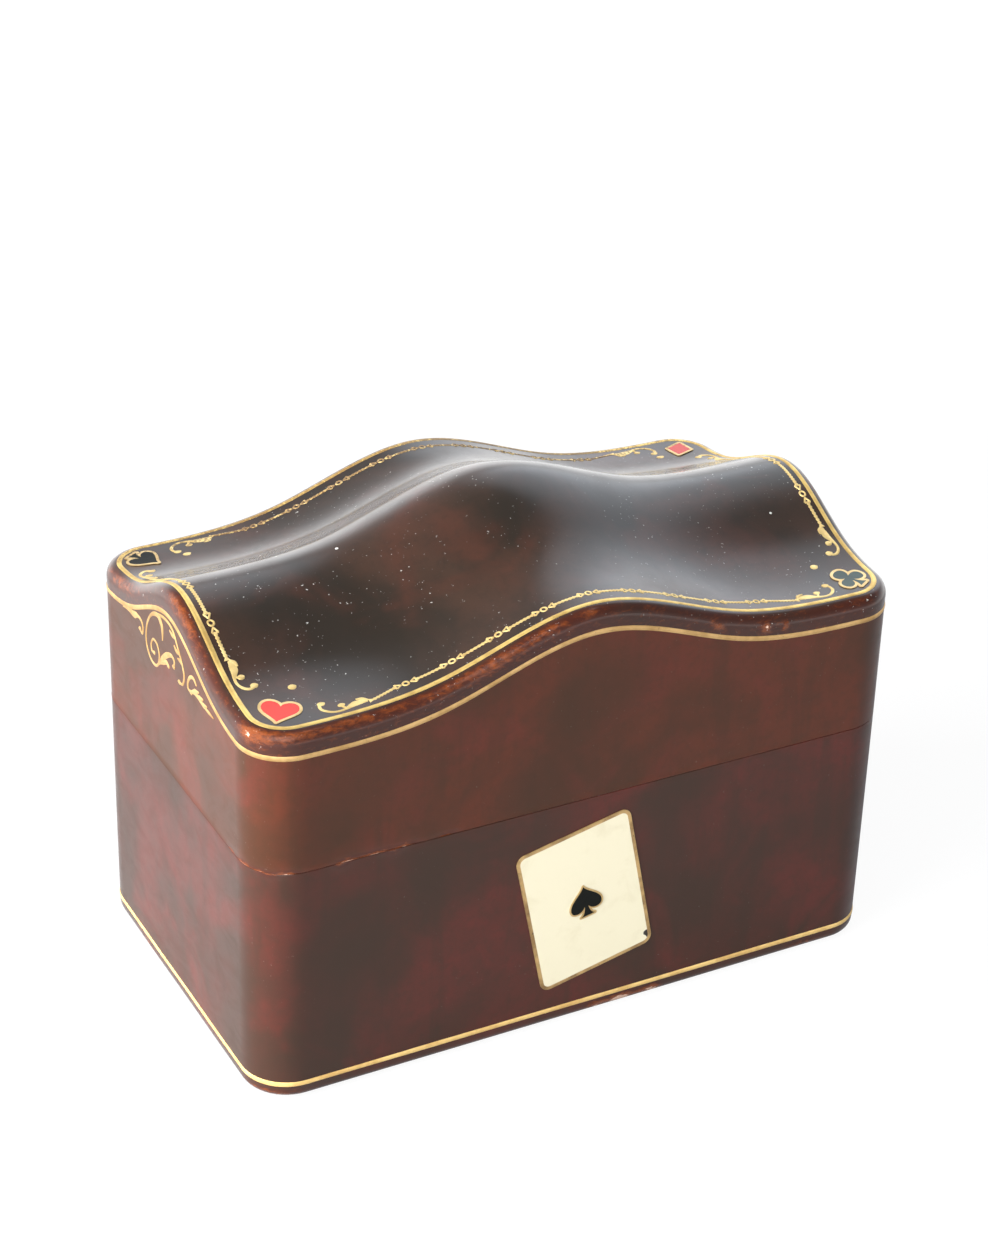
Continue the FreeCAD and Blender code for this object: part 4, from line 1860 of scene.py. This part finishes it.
@dataclass(frozen=True)
class Softbox:
    """A square lamp with a soft face: where it hangs, where it points, its size and power.

    It lights surfaces, or is mirrored in them, or both.
    """

    name: str
    place: tuple[float, float, float]
    size: float
    power: float
    lights: bool = True
    mirrored: bool = True
    aim: tuple[float, float, float] = (0.0, 0.0, 40.0)
    colour: Colour = (1.0, 1.0, 1.0)

    def hang(self) -> None:
        """Make the lamp."""
        lamp = bpy.data.lights.new(self.name, "AREA")
        lamp.shape = "SQUARE"
        lamp.size = self.size * MM
        lamp.energy = self.power
        lamp.color = self.colour
        made = add_object(self.name, lamp)
        place = np.array(self.place)
        made.matrix_world = facing_matrix(place, np.array(self.aim) - place)
        made.visible_camera = False
        made.visible_diffuse = self.lights
        made.visible_glossy = self.mirrored


@dataclass
class Studio:
    """A pale floor, a soft grey room, softboxes and the camera.

    The floor is matt grey, so that the box shades it, and partly plain white: a share of white to
    the camera and two to mirrors, near and far, and the white's brightness, near and far. The sky
    is a colour at each height, from the horizon's 0 to the zenith's 1. The window is a direction,
    and its edge fades between two cosines of the angle from it.
    """

    eye: tuple[float, float, float] = (-204.63, -376.41, 296.11)
    target: tuple[float, float, float] = (-0.27, 0.0, 59.4)
    roll: float = 1.78
    picture_height: float = 36.0
    focal_length: float = 81.47
    nearest: float = 10.0
    furthest: float = 50000.0
    floor_size: float = 8000.0
    floor_gap: float = 0.05
    floor_colour: Colour = (0.36, 0.36, 0.36)
    floor_seen_white: float = 0.80
    floor_mirrored_white: float = 0.10
    far_floor_mirrored_white: float = 1.0
    far_floor_starts: float = 230.0
    far_floor_reached: float = 380.0
    floor_white: float = 1.16
    far_floor_white: float = 1.5
    dim_side: float = 0.35
    boxes: tuple[Softbox, ...] = (
        Softbox("left_softbox", (-900.0, -40.0, 420.0), 900.0, 40.0, mirrored=False),
        Softbox("left_sheen", (-900.0, -40.0, 420.0), 900.0, 9.0, lights=False),
        Softbox("key_softbox", (-500.0, -800.0, 700.0), 800.0, 8.0),
    )
    sky: tuple[tuple[float, Colour], ...] = (
        (0.0, (1.55, 1.57, 1.61)), (0.18, (1.25, 1.27, 1.31)), (0.36, (0.62, 0.64, 0.68)),
        (0.60, (0.30, 0.31, 0.34)), (1.0, (0.10, 0.10, 0.10)))
    window: tuple[float, float, float] = (0.584, 0.545, 0.602)
    window_edge: tuple[float, float] = (0.857, 0.978)
    window_glow: float = 1.75
    window_colour: Colour = (0.88, 0.95, 1.04)
    dim_from: tuple[float, float] = (-0.6, 0.25)

    def camera(self) -> None:
        """The camera."""
        lens = bpy.data.cameras.new("camera")
        lens.sensor_fit = "VERTICAL"
        lens.sensor_height = self.picture_height
        lens.lens = self.focal_length
        lens.clip_start = self.nearest * MM
        lens.clip_end = self.furthest * MM
        made = add_object("camera", lens)
        eye = np.array(self.eye)
        made.matrix_world = facing_matrix(eye, np.array(self.target) - eye, self.roll)
        bpy.context.scene.camera = made

    def floor_material(self) -> bpy.types.Material:
        """The floor's finish: a matt grey that the camera and mirrors see partly as white.

        Returns:
            The material.
        """
        material = bpy.data.materials.new("pale_floor")
        material.use_nodes = True
        nodes = Nodes(material.node_tree)
        nodes.tree.nodes.clear()
        plain = nodes.wired("ShaderNodeBsdfDiffuse", self.floor_colour)
        # Reflections see a dim floor near the box, and a white one further off that meets the room
        place = nodes.node("ShaderNodeTexCoord").outputs["Object"]
        away = nodes.wired("ShaderNodeVectorMath", place, operation="LENGTH").outputs["Value"]
        edge = (self.far_floor_starts * MM, self.far_floor_reached * MM)
        mirrored = nodes.between(away, *edge, first=self.floor_mirrored_white,
                                 last=self.far_floor_mirrored_white)
        glow = nodes.between(away, *edge, first=self.floor_white, last=self.far_floor_white)
        white = nodes.node("ShaderNodeEmission")
        nodes.feed(white.inputs["Strength"], glow)
        ray = nodes.node("ShaderNodeLightPath").outputs
        share = 0.0
        for kind, part in (("Is Camera Ray", self.floor_seen_white), ("Is Glossy Ray", mirrored),
                           ("Is Transmission Ray", mirrored)):
            share = nodes.maths("MULTIPLY_ADD", ray[kind], part, share)
        mix = nodes.wired("ShaderNodeMixShader", share, plain.outputs[0], white.outputs[0])
        nodes.wired("ShaderNodeOutputMaterial", mix.outputs[0])
        return material

    def floor(self) -> None:
        """The floor, just under the box's foot."""
        half = self.floor_size * MM / 2
        level = -self.floor_gap * MM
        corners = [(-half, -half, level), (half, -half, level), (half, half, level),
                   (-half, half, level)]
        mesh = bpy.data.meshes.new("floor")
        mesh.from_pydata(corners, [], [(0, 1, 2, 3)])
        mesh.materials.append(self.floor_material())
        add_object("floor", mesh)

    def room(self) -> None:
        """The room's own light: pale at the horizon, darker overhead and behind the camera."""
        world = bpy.data.worlds.new("room")
        bpy.context.scene.world = world
        world.use_nodes = True
        nodes = Nodes(world.node_tree)
        background = nodes.tree.nodes["Background"]
        direction = nodes.node("ShaderNodeTexCoord").outputs["Generated"]
        axes = nodes.wired("ShaderNodeSeparateXYZ", direction)
        ramp = nodes.wired("ShaderNodeValToRGB", axes.outputs["Z"])
        elements = ramp.color_ramp.elements
        while len(elements) < len(self.sky):
            elements.new(1.0)
        for element, (place, colour) in zip(elements, self.sky):
            element.position = place
            element.color = (*colour, 1.0)
        # A pale window, high at the back right, with a soft edge
        toward = nodes.wired("ShaderNodeVectorMath", direction, self.window,
                             operation="DOT_PRODUCT").outputs["Value"]
        glow = nodes.between(toward, *self.window_edge, first=0.0, last=self.window_glow)
        lit = nodes.wired("ShaderNodeVectorMath", glow, self.window_colour, ramp.outputs[0],
                          operation="MULTIPLY_ADD")
        nodes.feed(background.inputs["Color"], lit.outputs[0])
        strength = nodes.between(axes.outputs["Y"], *self.dim_from, first=self.dim_side, last=1.0)
        nodes.feed(background.inputs["Strength"], strength)

    def build(self) -> None:
        """Set the studio up."""
        self.camera()
        self.floor()
        self.room()
        for box in self.boxes:
            box.hang()
        bpy.context.scene.view_settings.view_transform = "Standard"


# ---- The whole box ----


@dataclass
class CardBox:
    """The card box: its forms, worked out from the frame's own boxes, and its finishes."""

    corner_radius: float = 8.2
    lid_edge_rounding: float = 2.3
    wall: float = 4.0
    collar_clearance: float = 0.3
    waviness: Unevenness = Unevenness(height=0.018, shortest=20.0, longest=64.0, seed=5)
    chip: Mark = (12.5, -35.4, 14.0, 1.5)

    def __post_init__(self) -> None:
        """Work the forms out from the frame's own boxes."""
        low, high = (np.array(corner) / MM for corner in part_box("base_leather_cover"))
        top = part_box("lid_leather_top")[1].z / MM
        width, depth = (round(size, 3) for size in (high - low)[:2])
        self.plan = Plan(width, depth, self.corner_radius)
        self.foot, self.seam = float(low[2]), float(high[2])
        swell = Swell(round(top, 3) - Swell.front_rise - Swell.side_rise)
        self.form = LidForm(self.plan, swell, self.lid_edge_rounding, self.waviness)

    def dress(self, material: bpy.types.Material, *names: str) -> None:
        """Give CAD nodes a finish.

        Args:
            material: the finish.
            names: the nodes.
        """
        for name in names:
            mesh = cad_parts[name].data
            mesh.materials.clear()
            mesh.materials.append(material)
            LOG.info("%s: finished with %s", name, material.name)

    def leathers(self) -> None:
        """Cover the base and the lid."""
        lid_top = AgedLeather(
            "lid_top_calf", (0.036, 0.020, 0.014), (0.016, 0.013, 0.010), (0.058, 0.021, 0.014),
            shift=3.0, cloud_size=24.0, darkness=0.9, mottling=0.42, dustiness=0.75,
            polish=0.95).material()
        lid_side = AgedLeather(
            "lid_side_calf", (0.088, 0.021, 0.009), (0.042, 0.018, 0.008), (0.106, 0.020, 0.012),
            shift=60.0, cloud_size=22.0, darkness=0.8, mottling=0.40, streaking=0.35,
            dustiness=0.12, polish=0.6,
            # Painted shade: darker patches on the front
            stains_and_painted_shade=((-40.0, -35.0, 62.0, 17.0), (-46.0, -35.0, 52.0, 12.0),
                    (2.0, -35.0, 66.0, 14.0), (54.0, -35.0, 62.0, 9.0))).material()
        base = AgedLeather(
            "base_calf", (0.078, 0.019, 0.013), (0.036, 0.019, 0.012), (0.105, 0.019, 0.014),
            shift=120.0, cloud_size=24.0, darkness=0.9, mottling=0.45, streaking=0.45,
            dustiness=0.10, polish=0.6,
            # Painted shade: darker patches on the front
            stains_and_painted_shade=((-45.0, -35.0, 30.0, 20.0), (-30.0, -35.0, 38.0, 15.0),
                    (-8.0, -35.0, 40.0, 12.0), (53.0, -35.0, 26.0, 17.0))).material()
        collar = LEATHER + self.wall
        lid = LidLeather(self.form, seam=self.seam, carcass_rim=self.seam + LEATHER,
                         inside=collar - self.collar_clearance)
        lid.skin(lid_top)
        lid.sides(lid_side)
        BaseLeather(self.plan, self.waviness, foot=self.foot, seam=self.seam,
                    inside=collar).skin(base)

    def gilding(self) -> None:
        """Tool the three lines, and then the ornament."""
        gold = Gilding("tooled_gold").material()
        lines = GiltLines(self.form, self.plan, self.waviness)
        stations = len(self.plan.stations()[0])
        lines.on_lid("lid_upper_line", np.zeros(stations), gold, "lid_upper_gilt_line")
        tan = Gilding("tooled_gold_side", (0.70, 0.45, 0.19), (0.50, 0.30, 0.11),
                      worn=0.45).material()
        lines.on_lid("lid_side_line", self.form.reach(lines.side_drop), tan, "lid_side_gilt_line")
        warm = Gilding("tooled_gold_base", (1.0, 0.70, 0.27), (0.80, 0.50, 0.17),
                       worn_at_back=0.45, metal=0.45).material()
        lines.on_base("base_foot_line", warm, "base_gilt_line")
        self.ornament(tan)

    def ornament(self, tan: bpy.types.Material) -> None:
        """Tool the borders, the sprays and the dots.

        Args:
            tan: the finish of the sprays, which is that of the side line.
        """
        bright = Gilding("tooled_gold_ornament", (0.92, 0.70, 0.30), (0.72, 0.50, 0.19),
                         worn=0.4, worn_at_back=0.9).material()
        for facing in (Facing.FRONT, Facing.BACK):
            tails = (4.4, 5.2) if facing is Facing.FRONT else (5.2, 5.2)
            border = TopBorder(self.form, facing, inset=5.2, rings=9, pitch=8.15,
                               middle=-0.5 * facing.value[1], tails=tails, droop=1.1,
                               scroll_scale=1.0)
            border.build(f"{facing.name.lower()}_border", bright)
        for facing in (Facing.LEFT, Facing.RIGHT):
            tails = (2.6, 4.4) if facing is Facing.LEFT else (4.4, 2.6)
            border = TopBorder(self.form, facing, inset=4.0, rings=3, pitch=10.2,
                               middle=2.0 * facing.value[0], tails=tails, droop=0.0,
                               scroll_scale=0.8)
            border.build(f"{facing.name.lower()}_border", bright)
            SideFiligree(self.form).build(f"{facing.name.lower()}_filigree", facing, tan)
        CornerDots(self.form).build("corner_dots", bright)

    def suits(self) -> None:
        """Finish the suits and the ace card, which keep their CAD shapes."""
        gold = Gilding("suit_gold", (0.78, 0.58, 0.28), (0.56, 0.37, 0.15), worn=0.6).material()
        self.dress(gold, "heart_gilt_outline", "spade_gilt_outline", "diamond_gilt_outline",
                   "club_gilt_outline", "ace_spade_gilt_outline")
        border = Gilding("card_gold", (0.66, 0.44, 0.19), (0.34, 0.21, 0.09), (0.05, 0.03, 0.02),
                         worn=0.85).material()
        self.dress(border, "ace_card_gilt_border")
        red = Enamel("red_enamel", (0.47, 0.026, 0.015), (0.32, 0.018, 0.011),
                     refraction=1.4).material()
        black = Enamel("black_enamel", (0.008, 0.009, 0.008), (0.014, 0.014, 0.014),
                       roughness=0.30, refraction=1.18).material()
        green = Enamel("green_enamel", (0.030, 0.052, 0.042), (0.02, 0.03, 0.03),
                       refraction=1.36).material()
        ivory = Enamel("ivory_enamel", (0.82, 0.76, 0.56), (0.62, 0.54, 0.34), stain_and_painted_shade_share=0.30,
                       crack=(0.40, 0.30, 0.16), cracked=0.06, roughness=0.30,
                       chips=(self.chip,)).material()
        self.dress(red, "heart_onlay", "diamond_onlay")
        self.dress(black, "spade_onlay", "ace_spade_pip")
        self.dress(green, "club_onlay")
        self.dress(ivory, "ace_card_plaque")

    def insides(self) -> None:
        """Finish the wood, the paper and the cloth."""
        sides = ("front", "back", "left", "right")
        wood = BoxWood("carcass_wood").material()
        self.dress(wood, "base_floor_board", "lid_top_board",
                   *(f"base_{side}_board" for side in sides),
                   *(f"lid_{side}_board" for side in sides))
        paper = WateredPaper("collar_paper", (0.15, 0.011, 0.013), (0.25, 0.024, 0.024)).material()
        self.dress(paper, "compartment_divider", *(f"collar_{side}_board" for side in sides))
        lining = WateredPaper("lid_lining", (0.20, 0.015, 0.018), (0.30, 0.032, 0.032)).material()
        self.dress(lining, "lid_ceiling_lining", *(f"lid_{side}_lining" for side in sides))
        cloth = PadCloth("pad_cloth", (0.15, 0.010, 0.014), (0.34, 0.04, 0.045)).material()
        self.dress(cloth, "front_compartment_pad", "back_compartment_pad")
        under = WateredPaper("underside_paper", (0.045, 0.028, 0.022),
                             (0.07, 0.045, 0.035)).material()
        self.dress(under, "base_underside_lining")

    def build(self) -> None:
        """Build and finish everything."""
        self.leathers()
        self.gilding()
        self.suits()
        self.insides()


def main() -> None:
    """Build the studio and the box."""
    logging.basicConfig(level=logging.INFO, format="%(name)s %(message)s")
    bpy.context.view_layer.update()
    Studio().build()
    CardBox().build()


if __name__ == "__main__":
    main()
